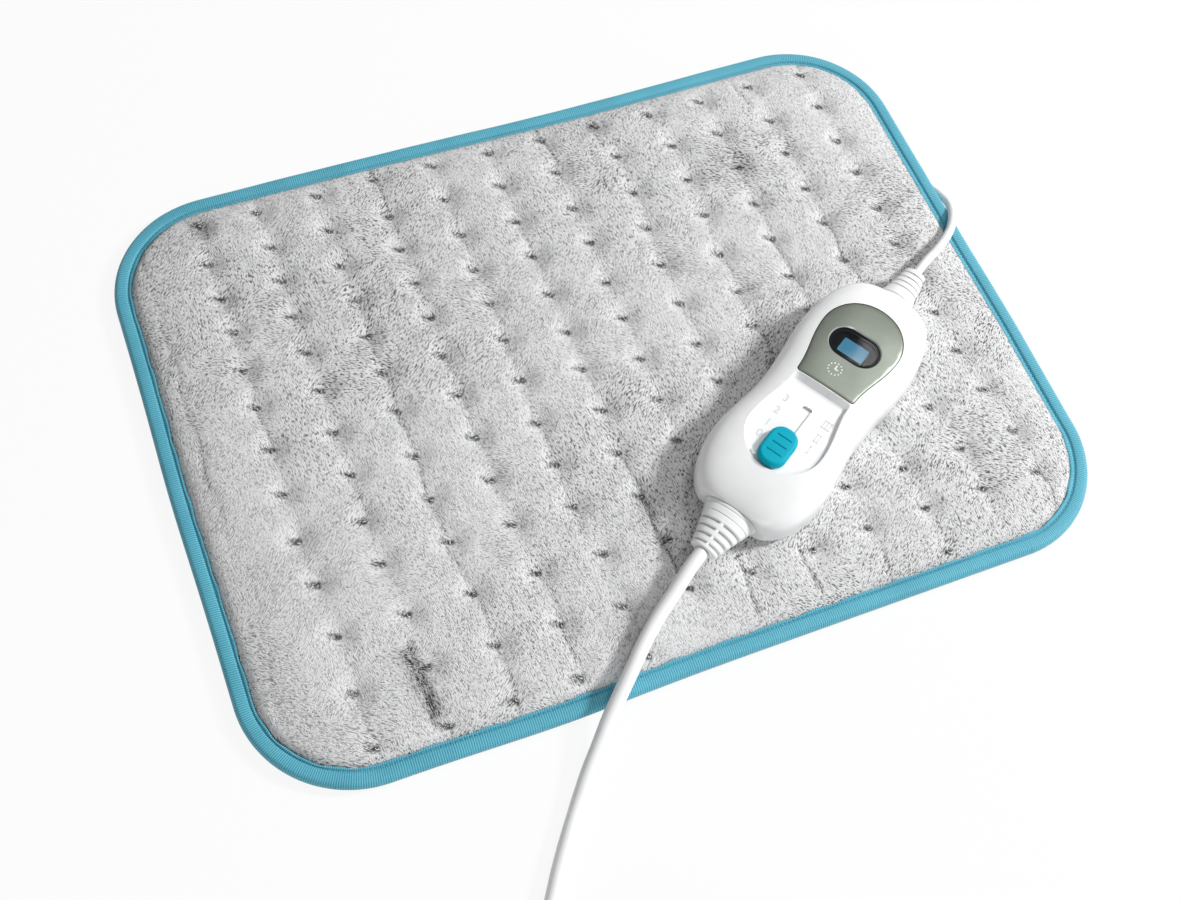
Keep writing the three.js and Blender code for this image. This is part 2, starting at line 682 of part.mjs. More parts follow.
// Wire of round section in one plane, with a ring at each point.
function flatWire(points, diameter, sides = 6) {
  const rings = points.map((point, place) => {
    const before = points[Math.max(place - 1, 0)];
    const after = points[Math.min(place + 1, points.length - 1)];
    const along = new THREE.Vector3().subVectors(after, before).normalize();
    const across = new THREE.Vector3(-along.y, along.x, 0);
    return Array.from({ length: sides }, (_, side) => {
      const angle = (2 * Math.PI * side) / sides;
      const offset = across.clone().multiplyScalar((diameter / 2) * Math.cos(angle));
      offset.z = (diameter / 2) * Math.sin(angle);
      return offset.add(point);
    });
  });
  return closedLoft(rings);
}

// Rows of heating wire from the upper right to the lower right.
const wireMiddleZ = WIRE_Z + HEATING_WIRE_DIAMETER / 2;
const firstRowY = PAD_WIDTH / 2 - WIRE_SIDE_MARGIN;
const wireRowPitch = (2 * firstRowY) / (WIRE_ROWS - 1);
const rowEndX = PAD_LENGTH / 2 - WIRE_END_MARGIN;
function heatingWirePoints() {
  const points = [];
  for (let row = 0; row < WIRE_ROWS; row += 1) {
    const side = row % 2 === 0 ? -1 : 1;
    const y = firstRowY - row * wireRowPitch;
    points.push(new THREE.Vector3(-side * rowEndX, y, wireMiddleZ));
    if (row === WIRE_ROWS - 1) points.push(new THREE.Vector3(side * rowEndX, y, wireMiddleZ));
    else {
      for (let step = 0; step < WIRE_ARC_STEPS; step += 1) {
        const angle = (Math.PI * step) / WIRE_ARC_STEPS;
        const x = side * (rowEndX + (wireRowPitch / 2) * Math.sin(angle));
        const turnY = y - (wireRowPitch / 2) * (1 - Math.cos(angle));
        points.push(new THREE.Vector3(x, turnY, wireMiddleZ));
      }
    }
  }
  return points;
}
addToPad("heating_wire", flatWire(heatingWirePoints(), HEATING_WIRE_DIAMETER), FINISHES.copper());

// Cut-outs and leads join the wire's two ends to the junction.
[1, -1].forEach((side, place) => {
  const rowY = side * firstRowY;
  const cutoutX = rowEndX + FIT_GAP + CUTOUT_LENGTH / 2;
  const cutout = new THREE.BoxGeometry(CUTOUT_LENGTH, CUTOUT_WIDTH, HEATING_WIRE_DIAMETER);
  cutout.translate(cutoutX, rowY, wireMiddleZ);
  addToPad(`thermal_cutout_${place + 1}`, cutout, FINISHES.black());
  const leadStart = cutoutX + CUTOUT_LENGTH / 2 + FIT_GAP;
  const bend = LEAD_PLACE_X - leadStart;
  const lead = [new THREE.Vector3(leadStart, rowY, wireMiddleZ)];
  for (let step = 1; step <= WIRE_ARC_STEPS; step += 1) {
    const angle = (Math.PI * step) / (2 * WIRE_ARC_STEPS);
    const x = leadStart + bend * Math.sin(angle);
    lead.push(new THREE.Vector3(x, rowY - side * bend * (1 - Math.cos(angle)), wireMiddleZ));
  }
  lead.push(new THREE.Vector3(LEAD_PLACE_X, ENTRY_PLACE_Y + side * (junctionHalf + FIT_GAP), wireMiddleZ));
  addToPad(`element_lead_${place + 1}`, flatWire(lead, HEATING_WIRE_DIAMETER), FINISHES.cord());
});
const junctionShape = roundedRectangle(
  JUNCTION_WIDTH,
  JUNCTION_LENGTH,
  JUNCTION_CORNER,
  LEAD_PLACE_X,
  ENTRY_PLACE_Y,
  SMALL_CORNER_STEPS,
);
addToPad(
  "junction_block",
  plate(junctionShape, LOWER_WADDING_Z, TOP_COVER_Z - LAYER_GAP),
  FINISHES.black(),
);
const glandStations = [
  [JUNCTION_FACE_X + FIT_GAP, GLAND_WIDTH / 2, GLAND_HEIGHT / 2],
  [GLAND_FACE_X - GLAND_LENGTH / 2, GLAND_WIDTH / 2, GLAND_HEIGHT / 2],
  [GLAND_FACE_X, PAD_CORD_DIAMETER / 2 + FIT_GAP, GLAND_HEIGHT / 2],
];
addToPad(
  "pad_cord_gland",
  ovalBody(glandStations, GLAND_AXIS_Z, 12).translate(0, ENTRY_PLACE_Y, 0),
  FINISHES.cord(),
);

// Half width of the housing before its ends round off.
function lobeHalfWidth(x) {
  const fromWaist = (x - WAIST_PLACE) / WAIST_REACH;
  const lobe = fromWaist < 0 ? HOUSING_LOWER_LOBE : HOUSING_UPPER_LOBE;
  return HOUSING_WAIST / 2 + ((lobe - HOUSING_WAIST) / 2) * (1 - Math.exp(-fromWaist * fromWaist));
}

const signedPower = (value, power) => Math.sign(value) * Math.abs(value) ** power;

// One closed outline of the housing, drawn in by an inset and scaled towards its middle.
function housingOutline(inset, scale, height) {
  return Array.from({ length: OUTLINE_STEPS }, (_, step) => {
    const angle = (2 * Math.PI * step) / OUTLINE_STEPS;
    const alongShare = signedPower(Math.cos(angle), 2 / OUTLINE_POWER);
    const acrossShare = signedPower(Math.sin(angle), 2 / OUTLINE_POWER);
    const x = (HOUSING_LENGTH / 2 - inset) * alongShare;
    const y = (lobeHalfWidth(x) - inset) * acrossShare;
    return new THREE.Vector3(x * scale, y * scale, height);
  });
}

// The upper half of the housing's outside, or of its inside when there is an inset.
function dome(inset, bottom, steps) {
  const rise = HOUSING_HEIGHT - inset - PARTING_HEIGHT;
  const rings = [];
  if (bottom < PARTING_HEIGHT) rings.push(housingOutline(inset, 1, bottom));
  for (let step = 0; step < steps; step += 1) {
    const angle = (Math.PI / 2) * (step / steps);
    const scale = Math.cos(angle) ** (2 / DOME_POWER);
    rings.push(housingOutline(inset, scale, PARTING_HEIGHT + rise * Math.sin(angle) ** (2 / DOME_POWER)));
  }
  const crown = housingOutline(inset, CROWN_SCALE, HOUSING_HEIGHT - inset);
  return closedLoft([...rings, crown]);
}

// The lower half, with a rounded edge round its foot.
function tray(inset, bottom, top) {
  const rings = [];
  for (let step = 0; step <= TRAY_STEPS; step += 1) {
    const angle = (Math.PI / 2) * (step / TRAY_STEPS);
    const drawnIn = inset + BASE_FILLET * (1 - Math.sin(angle));
    rings.push(housingOutline(drawnIn, 1, bottom + BASE_FILLET * (1 - Math.cos(angle))));
  }
  rings.push(housingOutline(inset, 1, top));
  return closedLoft(rings);
}

// The fascia's outline: a straight foot, sides that swell, and a round far end.
function fasciaOutline(growth) {
  const foot = FASCIA_FOOT / 2 + growth;
  const half = FASCIA_WIDTH / 2 + growth;
  const start = FASCIA_START - growth;
  const end = FASCIA_START + FASCIA_LENGTH + growth;
  const round = end - half;
  const shape = new THREE.Shape();
  shape.moveTo(start, -foot);
  shape.bezierCurveTo(start + FOOT_PULL, -foot, round - ROUND_PULL, -half, round, -half);
  shape.absarc(round, 0, half, -Math.PI / 2, Math.PI / 2);
  shape.bezierCurveTo(round - ROUND_PULL, half, start + FOOT_PULL, foot, start, foot);
  shape.closePath();
  return shape;
}

// The switch panel's outline: a straight end by the fascia and a round lower end.
function panelOutline(growth) {
  const foot = PANEL_FOOT / 2 + growth;
  const half = PANEL_WIDTH / 2 + growth;
  const end = PANEL_END + growth;
  const round = PANEL_END - PANEL_LENGTH - growth + half;
  const shape = new THREE.Shape();
  shape.moveTo(end, foot);
  shape.bezierCurveTo(end - FOOT_PULL, foot, round + ROUND_PULL, half, round, half);
  shape.absarc(round, 0, half, Math.PI / 2, 1.5 * Math.PI);
  shape.bezierCurveTo(round + ROUND_PULL, -half, end - FOOT_PULL, -foot, end, -foot);
  shape.closePath();
  return shape;
}

const windowOutline = (growth) =>
  roundedRectangle(
    WINDOW_LENGTH + 2 * growth,
    WINDOW_WIDTH + 2 * growth,
    WINDOW_CORNER + growth,
    WINDOW_PLACE,
  );

// Heights of the controller's parts above its foot
const ABOVE = HOUSING_HEIGHT + 5;
const PANEL_FLOOR = HOUSING_HEIGHT - PANEL_DEPTH;
const PANEL_UNDERSIDE = PANEL_FLOOR - PANEL_WALL;
const WINDOW_TOP = HOUSING_HEIGHT - WINDOW_SINK;
const WINDOW_SEAT = WINDOW_TOP - WINDOW_THICKNESS - FIT_GAP;
const BOARD_TOP = BOARD_HEIGHT + BOARD_THICKNESS;
const SLOT_LENGTH = STEM_LENGTH + SLIDE_TRAVEL + 2 * FIT_GAP;
const SLOT_PLACE = SLIDE_PLACE + SLIDE_TRAVEL / 2;
const bossPlaces = [
  [-BOSS_PLACE_X, -BOSS_PLACE_Y],
  [-BOSS_PLACE_X, BOSS_PLACE_Y],
  [BOSS_PLACE_X, -BOSS_PLACE_Y],
  [BOSS_PLACE_X, BOSS_PLACE_Y],
];

// What both shells leave free at their ends for the cord boots' necks and flanges.
const lowEnd = -HOUSING_LENGTH / 2 + MAINS_END_CUT;
const highEnd = HOUSING_LENGTH / 2 - PAD_END_CUT;
function boreAlong(from, to, width, height) {
  const half = [width / 2 + FIT_GAP, height / 2 + FIT_GAP];
  return solidOf(ovalBody([[from, ...half], [to, ...half]], BOOT_AXIS_HEIGHT));
}
const neckReach = END_WALL + FIT_GAP;
const flangeReach = neckReach + FLANGE_THICKNESS + FIT_GAP;
const endCuts = [
  solidOf(block([-HOUSING_LENGTH, -HOUSING_LENGTH, -ABOVE], [lowEnd, HOUSING_LENGTH, ABOVE])),
  solidOf(block([highEnd, -HOUSING_LENGTH, -ABOVE], [HOUSING_LENGTH, HOUSING_LENGTH, ABOVE])),
  boreAlong(lowEnd - 1, lowEnd + neckReach, NECK_WIDTH, NECK_HEIGHT),
  boreAlong(highEnd - neckReach, highEnd + 1, NECK_WIDTH, NECK_HEIGHT),
  boreAlong(lowEnd + END_WALL, lowEnd + flangeReach, FLANGE_WIDTH, FLANGE_HEIGHT),
  boreAlong(highEnd - flangeReach, highEnd - END_WALL, FLANGE_WIDTH, FLANGE_HEIGHT),
];

const outerDome = solidOf(dome(0, PARTING_HEIGHT, DOME_STEPS));
const cavity = solidOf(dome(HOUSING_WALL, PARTING_HEIGHT - 1, CAVITY_STEPS));
const fasciaSeat = outerDome.translate([0, 0, -FASCIA_THICKNESS - FIT_GAP]);

// End walls keep the boots' inner flanges inside the shells.
const endWalls = [
  solidOf(block([lowEnd, -HOUSING_LENGTH, 0], [lowEnd + END_WALL, HOUSING_LENGTH, ABOVE])),
  solidOf(block([highEnd - END_WALL, -HOUSING_LENGTH, 0], [highEnd, HOUSING_LENGTH, ABOVE])),
];

function upperHousing() {
  const panelBlock = solidOf(plate(panelOutline(HOUSING_WALL), PANEL_UNDERSIDE, ABOVE)).intersect(outerDome);
  const windowBlock = solidOf(plate(windowOutline(HOUSING_WALL), WINDOW_SEAT - HOUSING_WALL, WINDOW_TOP));
  const walls = endWalls.map((wall) => wall.intersect(outerDome));
  const bosses = bossPlaces.map(([x, y]) =>
    solidOf(rod(x, y, PARTING_HEIGHT + FIT_GAP, HOUSING_HEIGHT, BOSS_DIAMETER)).intersect(outerDome),
  );
  const shell = joined(outerDome.subtract(cavity), panelBlock, windowBlock, ...walls, ...bosses);
  const fasciaPocket = solidOf(plate(fasciaOutline(FIT_GAP), PARTING_HEIGHT, ABOVE)).subtract(fasciaSeat);
  const slot = new THREE.Shape(
    roundedPoints(SLOT_LENGTH, STEM_WIDTH + 2 * FIT_GAP, SLOT_CORNER, SLOT_PLACE, 0, SMALL_CORNER_STEPS),
  );
  const screwHoles = bossPlaces.map(([x, y]) =>
    solidOf(rod(x, y, 0, SCREW_SINK + SCREW_HEAD_HEIGHT + SCREW_LENGTH + 1, SCREW_DIAMETER + 2 * FIT_GAP)),
  );
  return without(
    shell,
    solidOf(plate(panelOutline(0), PANEL_FLOOR, ABOVE)),
    fasciaPocket,
    solidOf(plate(windowOutline(FIT_GAP), WINDOW_SEAT, ABOVE)),
    solidOf(plate(windowOutline(-WINDOW_LEDGE), PARTING_HEIGHT, ABOVE)),
    solidOf(plate(slot, PARTING_HEIGHT, ABOVE)),
    ...screwHoles,
    ...endCuts,
  );
}

function lowerHousing() {
  const top = PARTING_HEIGHT - FIT_GAP;
  const outside = solidOf(tray(0, 0, top));
  const inside = solidOf(tray(HOUSING_WALL, HOUSING_WALL, PARTING_HEIGHT + 1));
  const walls = endWalls.map((wall) => wall.intersect(outside));
  const bosses = bossPlaces.map(([x, y]) => solidOf(rod(x, y, 1, top, BOSS_DIAMETER)));
  const posts = [-POST_PLACE_X, POST_PLACE_X].flatMap((x) =>
    [-POST_PLACE_Y, POST_PLACE_Y].map((y) => solidOf(rod(x, y, 1, BOARD_HEIGHT - LAYER_GAP, POST_DIAMETER))),
  );
  const screwHoles = bossPlaces.flatMap(([x, y]) => [
    solidOf(rod(x, y, -1, ABOVE, SCREW_DIAMETER + 2 * FIT_GAP)),
    solidOf(rod(x, y, -1, SCREW_SINK + SCREW_HEAD_HEIGHT + FIT_GAP, SCREW_HEAD_DIAMETER + 2 * FIT_GAP)),
  ]);
  return without(joined(outside.subtract(inside), ...walls, ...bosses, ...posts), ...screwHoles, ...endCuts);
}

addToController("upper_housing", geometryOf(upperHousing()), FINISHES.gloss());
addToController("lower_housing", geometryOf(lowerHousing()), FINISHES.gloss());

function fasciaPlate() {
  const skin = outerDome.subtract(outerDome.translate([0, 0, -FASCIA_THICKNESS]));
  const blank = solidOf(plate(fasciaOutline(0), PARTING_HEIGHT, ABOVE)).intersect(skin);
  return geometryOf(blank.subtract(solidOf(plate(windowOutline(FIT_GAP), PARTING_HEIGHT, ABOVE))));
}
addToController("fascia_plate", fasciaPlate(), FINISHES.fascia());
addToController(
  "display_window",
  plate(windowOutline(0), WINDOW_SEAT + FIT_GAP, WINDOW_TOP),
  FINISHES.lens(),
);

// Screws come up from below into the upper shell's bosses.
bossPlaces.forEach(([x, y], place) => {
  const [radius, headRadius] = [SCREW_DIAMETER / 2, SCREW_HEAD_DIAMETER / 2];
  const profile = [
    [0, 0], [headRadius, 0], [headRadius, SCREW_HEAD_HEIGHT], [radius, SCREW_HEAD_HEIGHT],
    [radius, SCREW_HEAD_HEIGHT + SCREW_LENGTH - 1], [0, SCREW_HEAD_HEIGHT + SCREW_LENGTH],
  ];
  const screw = new THREE.LatheGeometry(profile.map((point) => new THREE.Vector2(...point)), 8);
  screw.rotateX(Math.PI / 2).translate(x, y, SCREW_SINK);
  addToController(`housing_screw_${place + 1}`, screw, FINISHES.metal());
});

// The slide button: a pillow shaped knob with grip grooves, on a stem that passes the panel's slot.
function slideKnob() {
  const bottom = PANEL_FLOOR + FIT_GAP;
  const ringAt = (inset, height) => {
    const size = [KNOB_LENGTH - 2 * inset, KNOB_WIDTH - 2 * inset];
    const outline = roundedPoints(...size, KNOB_CORNER - inset, SLIDE_PLACE);
    return outline.map(({ x, y }) => new THREE.Vector3(x, y, height));
  };
  const top = bottom + KNOB_HEIGHT;
  const knob = solidOf(
    closedLoft([
      ringAt(0, bottom),
      ringAt(0, top - KNOB_EDGE),
      ringAt(KNOB_EDGE / 3, top - KNOB_EDGE / 3),
      ringAt(KNOB_EDGE, top),
    ]),
  );
  const grooves = [-1, 0, 1].map((side) => {
    const x = SLIDE_PLACE + side * GRIP_PITCH;
    const reach = KNOB_WIDTH / 2 - KNOB_EDGE - 1;
    const [left, right] = [x - GRIP_WIDTH / 2, x + GRIP_WIDTH / 2];
    return solidOf(block([left, -reach, top - GRIP_DEPTH], [right, reach, top + 1]));
  });
  const stem = solidOf(
    block(
      [SLIDE_PLACE - STEM_LENGTH / 2, -STEM_WIDTH / 2, PANEL_UNDERSIDE],
      [SLIDE_PLACE + STEM_LENGTH / 2, STEM_WIDTH / 2, bottom + 1],
    ),
  );
  return geometryOf(without(joined(knob, stem), ...grooves));
}
addToController("slide_knob", slideKnob(), FINISHES.knob());

// Below the panel: the plate that shuts the slot, its sprung contact and the fixed switch base.
const carrierTop = PANEL_UNDERSIDE - FIT_GAP;
const carrierBottom = carrierTop - CARRIER_PLATE_THICKNESS;
const carrierLow = SLIDE_PLACE - STEM_LENGTH;
const carrierHigh = SLIDE_PLACE + STEM_LENGTH / 2 + SLIDE_TRAVEL + 1;
addToController(
  "slide_carrier",
  block(
    [carrierLow, -CARRIER_PLATE_WIDTH / 2, carrierBottom],
    [carrierHigh, CARRIER_PLATE_WIDTH / 2, carrierTop],
  ),
  FINISHES.gloss(),
);
const switchBaseTop = BOARD_TOP + LAYER_GAP + SWITCH_BASE_HEIGHT;
addToController(
  "switch_base",
  block(
    [SLOT_PLACE - SLOT_LENGTH / 2, -SWITCH_BASE_WIDTH / 2, BOARD_TOP + LAYER_GAP],
    [SLOT_PLACE + SLOT_LENGTH / 2, SWITCH_BASE_WIDTH / 2, switchBaseTop],
  ),
  FINISHES.black(),
);
function contactWiper() {
  const top = carrierBottom - FIT_GAP;
  const low = switchBaseTop + FIT_GAP;
  const half = STEM_LENGTH / 2;
  const shape = new THREE.Shape();
  shape.moveTo(-half, top);
  shape.lineTo(-half, top - WIPER_THICKNESS);
  shape.lineTo(-half / 2, top - WIPER_THICKNESS);
  shape.lineTo(-WIPER_THICKNESS, low);
  shape.lineTo(WIPER_THICKNESS, low);
  shape.lineTo(half / 2, top - WIPER_THICKNESS);
  shape.lineTo(half, top - WIPER_THICKNESS);
  shape.lineTo(half, top);
  shape.lineTo(half / 2 - WIPER_THICKNESS, top);
  shape.lineTo(0, low + 2 * WIPER_THICKNESS);
  shape.lineTo(-half / 2 + WIPER_THICKNESS, top);
  shape.closePath();
  const strip = new THREE.ExtrudeGeometry(shape, { depth: WIPER_WIDTH, bevelEnabled: false });
  return strip.rotateX(Math.PI / 2).translate(SLIDE_PLACE, WIPER_WIDTH / 2, 0);
}
addToController("contact_wiper", contactWiper(), FINISHES.copper());

// The circuit board on the lower shell's posts, and what is soldered to it.
addToController(
  "circuit_board",
  plate(roundedRectangle(BOARD_LENGTH, BOARD_WIDTH, BOARD_CORNER), BOARD_HEIGHT, BOARD_TOP),
  FINISHES.board(),
);
addToController(
  "display_module",
  block(
    [WINDOW_PLACE - DISPLAY_LENGTH / 2, -DISPLAY_WIDTH / 2, BOARD_TOP + LAYER_GAP],
    [WINDOW_PLACE + DISPLAY_LENGTH / 2, DISPLAY_WIDTH / 2, WINDOW_SEAT - HOUSING_WALL - FIT_GAP],
  ),
  FINISHES.display(),
);
const onBoard = (name, x, y, length, width, height, material) =>
  addToController(
    name,
    block(
      [x - length / 2, y - width / 2, BOARD_TOP + LAYER_GAP],
      [x + length / 2, y + width / 2, BOARD_TOP + LAYER_GAP + height],
    ),
    material,
  );
const terminalSize = [TERMINAL_LENGTH, TERMINAL_WIDTH, TERMINAL_HEIGHT];
onBoard("mains_terminal", -TERMINAL_PLACE_X, MAINS_TERMINAL_Y, ...terminalSize, FINISHES.board());
onBoard("pad_terminal", TERMINAL_PLACE_X, PAD_TERMINAL_Y, ...terminalSize, FINISHES.board());
const tallPart = PANEL_UNDERSIDE - BOARD_TOP - LAYER_GAP - BOARD_PART_CLEARANCE;
boardParts.forEach(({ name, place, size, height = tallPart, look }) =>
  onBoard(name, ...place, ...size, height, FINISHES[look]()),
);
const fuse = new THREE.CylinderGeometry(FUSE_DIAMETER / 2, FUSE_DIAMETER / 2, FUSE_LENGTH, 12);
fuse.rotateZ(Math.PI / 2).translate(FUSE_PLACE_X, FUSE_PLACE_Y, BOARD_TOP + LAYER_GAP + FUSE_DIAMETER / 2);
addToController("fuse", fuse, FINISHES.lens());

// A ribbed boot along X with a neck and an inner flange, its wide end at the housing.
function cordBoot(length, width, height, tip, ribs, cordDiameter) {
  const rootGap = FIT_GAP;
  const neckEnd = -END_WALL - FIT_GAP;
  const stations = [
    [neckEnd - FLANGE_THICKNESS, FLANGE_WIDTH / 2, FLANGE_HEIGHT / 2],
    [neckEnd, FLANGE_WIDTH / 2, FLANGE_HEIGHT / 2],
    [neckEnd, NECK_WIDTH / 2, NECK_HEIGHT / 2],
    [rootGap, NECK_WIDTH / 2, NECK_HEIGHT / 2],
  ];
  const ribPitch = (length - rootGap) / ribs;
  const tipHeight = cordDiameter + 2 * BOOT_TIP_WALL;
  for (let rib = 0; rib < ribs; rib += 1) {
    const at = rib / (ribs - 1);
    const halfWidth = THREE.MathUtils.lerp(width, tip, at ** BOOT_HOLLOWNESS) / 2;
    const halfHeight = THREE.MathUtils.lerp(height, tipHeight, at ** BOOT_HOLLOWNESS) / 2;
    const start = rootGap + rib * ribPitch;
    stations.push([start, halfWidth, halfHeight]);
    const ribEnd = start + RIB_SHARE * ribPitch;
    stations.push([ribEnd, halfWidth - RIB_TAPER, halfHeight - RIB_TAPER]);
    if (rib === ribs - 1) break;
    const drop = BOOT_GROOVE_DEPTH + RIB_TAPER;
    stations.push([ribEnd, halfWidth - drop, halfHeight - drop]);
    stations.push([start + ribPitch, halfWidth - drop, halfHeight - drop]);
  }
  stations[stations.length - 1][0] = length;
  return ovalBody(stations, BOOT_AXIS_HEIGHT, BOOT_SIDES);
}
addToController(
  "mains_strain_relief",
  cordBoot(
    MAINS_BOOT_LENGTH,
    MAINS_BOOT_WIDTH,
    MAINS_BOOT_HEIGHT,
    MAINS_BOOT_TIP,
    MAINS_BOOT_RIBS,
    MAINS_CORD_DIAMETER,
  )
    .rotateZ(Math.PI)
    .translate(lowEnd, 0, 0),
  FINISHES.gloss(),
);
addToController(
  "pad_strain_relief",
  cordBoot(
    PAD_BOOT_LENGTH,
    PAD_BOOT_WIDTH,
    PAD_BOOT_HEIGHT,
    PAD_BOOT_TIP,
    PAD_BOOT_RIBS,
    PAD_CORD_DIAMETER,
  ).translate(highEnd, 0, 0),
  FINISHES.gloss(),
);

// Cords
const coilLengthSteps = Math.round(COIL_TURNS * COIL_STEPS_PER_TURN);
addToPad("pad_cord", tube(padCordCurve, PAD_CORD_DIAMETER, PAD_CORD_STEPS), FINISHES.cord());
const mainsCurve = curveThrough(mainsRoute);
const tailCurve = curveThrough(tailRoute);
addToPad("mains_cord", tube(mainsCurve, MAINS_CORD_DIAMETER, MAINS_CORD_STEPS), FINISHES.cord());
addToPad("mains_coil", tube(pile, MAINS_CORD_DIAMETER, coilLengthSteps, COIL_SIDES), FINISHES.cord());
addToPad("mains_tail", tube(tailCurve, MAINS_CORD_DIAMETER, TAIL_STEPS), FINISHES.cord());

// The least gap between turns of the pile, measured between points more than half a turn apart.
function leastPileGap() {
  const places = pile.getSpacedPoints(4 * coilLengthSteps);
  const apart = 2 * COIL_STEPS_PER_TURN;
  let least = Infinity;
  for (let first = 0; first < places.length; first += 1) {
    for (let second = first + apart; second < places.length; second += 1) {
      least = Math.min(least, places[first].distanceTo(places[second]));
    }
  }
  return least - MAINS_CORD_DIAMETER;
}
console.log(`pile: length ${pile.getLength().toFixed(1)} mm, least gap ${leastPileGap().toFixed(2)} mm`);
[
  ["pad cord", padCordCurve],
  ["mains cord", mainsCurve],
  ["mains tail", tailCurve],
].forEach(([name, curve]) => console.log(`${name}: length ${curve.getLength().toFixed(1)} mm`));

// A band round the bundle of turns.
function coilTie() {
  const cord = MAINS_CORD_DIAMETER / 2 + FIT_GAP;
  const low = COIL_BASE_Z - cord;
  const high = COIL_BASE_Z + COIL_LAYER + cord;
  const ring = (growth) =>
    roundedRectangle(
      COIL_OUTER_RADIUS - COIL_INNER_RADIUS + 2 * (cord + growth),
      high - low + 2 * growth,
      TIE_CORNER + growth,
      (COIL_OUTER_RADIUS + COIL_INNER_RADIUS) / 2,
      (high + low) / 2,
    );
  const shape = ring(TIE_THICKNESS);
  shape.holes.push(ring(0));
  const band = new THREE.ExtrudeGeometry(shape, { depth: TIE_WIDTH, bevelEnabled: false });
  band.rotateX(Math.PI / 2).translate(0, TIE_WIDTH / 2, 0);
  return band.rotateZ(TIE_ANGLE).translate(COIL_CENTRE.x, COIL_CENTRE.y, 0);
}
addToPad("coil_tie", coilTie(), FINISHES.black());

// The plug lies on its flat side, with its boot towards the coil.
const plugStart = PLUG_BOOT_TIP_X + PLUG_BOOT_LENGTH;
const plugEnd = plugStart + PLUG_LENGTH;
function plugBody() {
  const shape = new THREE.Shape();
  const [neck, half] = [PLUG_NECK_WIDTH / 2, PLUG_WIDTH / 2];
  const shoulder = plugStart + PLUG_SHOULDER;
  const [neckPull, shoulderPull] = [plugStart + PLUG_NECK_PULL, shoulder - PLUG_NECK_PULL];
  shape.moveTo(plugStart + FIT_GAP, -neck);
  shape.bezierCurveTo(neckPull, -neck, shoulderPull, -half, shoulder, -half);
  shape.lineTo(plugEnd, -half);
  shape.lineTo(plugEnd, half);
  shape.lineTo(shoulder, half);
  shape.bezierCurveTo(shoulderPull, half, neckPull, neck, plugStart + FIT_GAP, neck);
  shape.closePath();
  const body = solidOf(plate(shape, 0, PLUG_HEIGHT).translate(0, PLUG_PLACE_Y, 0));
  const sockets = [-1, 1].map((side) => solidOf(plugPin(side, FIT_GAP)));
  return geometryOf(without(body, ...sockets));
}
function plugPin(side, growth) {
  const pin = new THREE.CylinderGeometry(
    PIN_DIAMETER / 2 + growth,
    PIN_DIAMETER / 2 + growth,
    PIN_LENGTH + PIN_SOCKET + 2 * growth,
    12,
  );
  const middle = plugEnd + (PIN_LENGTH - PIN_SOCKET) / 2;
  return pin.rotateZ(Math.PI / 2).translate(middle, PLUG_PLACE_Y + (side * PIN_SPACING) / 2, plugAxisZ);
}
addToPad("plug_body", plugBody(), FINISHES.gloss());
addToPad("plug_pin_1", plugPin(-1, 0), FINISHES.metal());
addToPad("plug_pin_2", plugPin(1, 0), FINISHES.metal());
function plugBoot() {
  const stations = [];
  const pitch = PLUG_BOOT_LENGTH / PLUG_BOOT_RIBS;
  const tipRadius = MAINS_CORD_DIAMETER / 2 + PLUG_BOOT_WALL;
  const neckRadius = PLUG_NECK_WIDTH / 2 - PLUG_BOOT_STEP;
  for (let rib = 0; rib < PLUG_BOOT_RIBS; rib += 1) {
    const half = THREE.MathUtils.lerp(tipRadius, neckRadius, rib / (PLUG_BOOT_RIBS - 1));
    const start = PLUG_BOOT_TIP_X + rib * pitch;
    stations.push([start, half, half]);
    stations.push([start + RIB_SHARE * pitch, half, half]);
    stations.push([start + RIB_SHARE * pitch, half - BOOT_GROOVE_DEPTH, half - BOOT_GROOVE_DEPTH]);
    stations.push([start + pitch, half - BOOT_GROOVE_DEPTH, half - BOOT_GROOVE_DEPTH]);
  }
  return ovalBody(stations, plugAxisZ, 12).translate(0, PLUG_PLACE_Y, 0);
}
addToPad("plug_boot", plugBoot(), FINISHES.gloss());

// Cores of the two cords inside the controller, from each boot's flange to its terminal.
const terminalFaceX = TERMINAL_PLACE_X + TERMINAL_LENGTH / 2 + FIT_GAP;
const terminalMiddleZ = BOARD_TOP + LAYER_GAP + TERMINAL_HEIGHT / 2;
function coreTube(end, terminalY, offset) {
  const flangeX = (end < 0 ? -lowEnd : highEnd) - flangeReach;
  const at = (share) => end * THREE.MathUtils.lerp(flangeX, terminalFaceX, share);
  const route = [
    [at(0), offset, BOOT_AXIS_HEIGHT],
    [at(0.3), 0.2 * terminalY + offset, BOOT_AXIS_HEIGHT],
    [at(0.7), 0.75 * terminalY + offset, terminalMiddleZ],
    [at(1), terminalY + offset, terminalMiddleZ],
  ];
  return tube(curveThrough(route), CORE_DIAMETER, 6, 6);
}
[1, -1].forEach((side, place) => {
  const offset = (side * CORE_SPACING) / 2;
  addToController(`mains_core_${place + 1}`, coreTube(-1, MAINS_TERMINAL_Y, offset), FINISHES.core());
  addToController(`pad_core_${place + 1}`, coreTube(1, PAD_TERMINAL_Y, offset), FINISHES.core());
});

export default heatingPad;
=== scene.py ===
"""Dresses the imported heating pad: quilted plush, taped edge, glossy controller and white cords.

Sizes are in millimetres, as on a drawing. Every mesh is written in metres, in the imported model's frame.
"""

import json
import logging
import math
from dataclasses import dataclass
from enum import Enum
from functools import cached_property
from typing import Any, Callable, Mapping, Optional, Sequence, Union

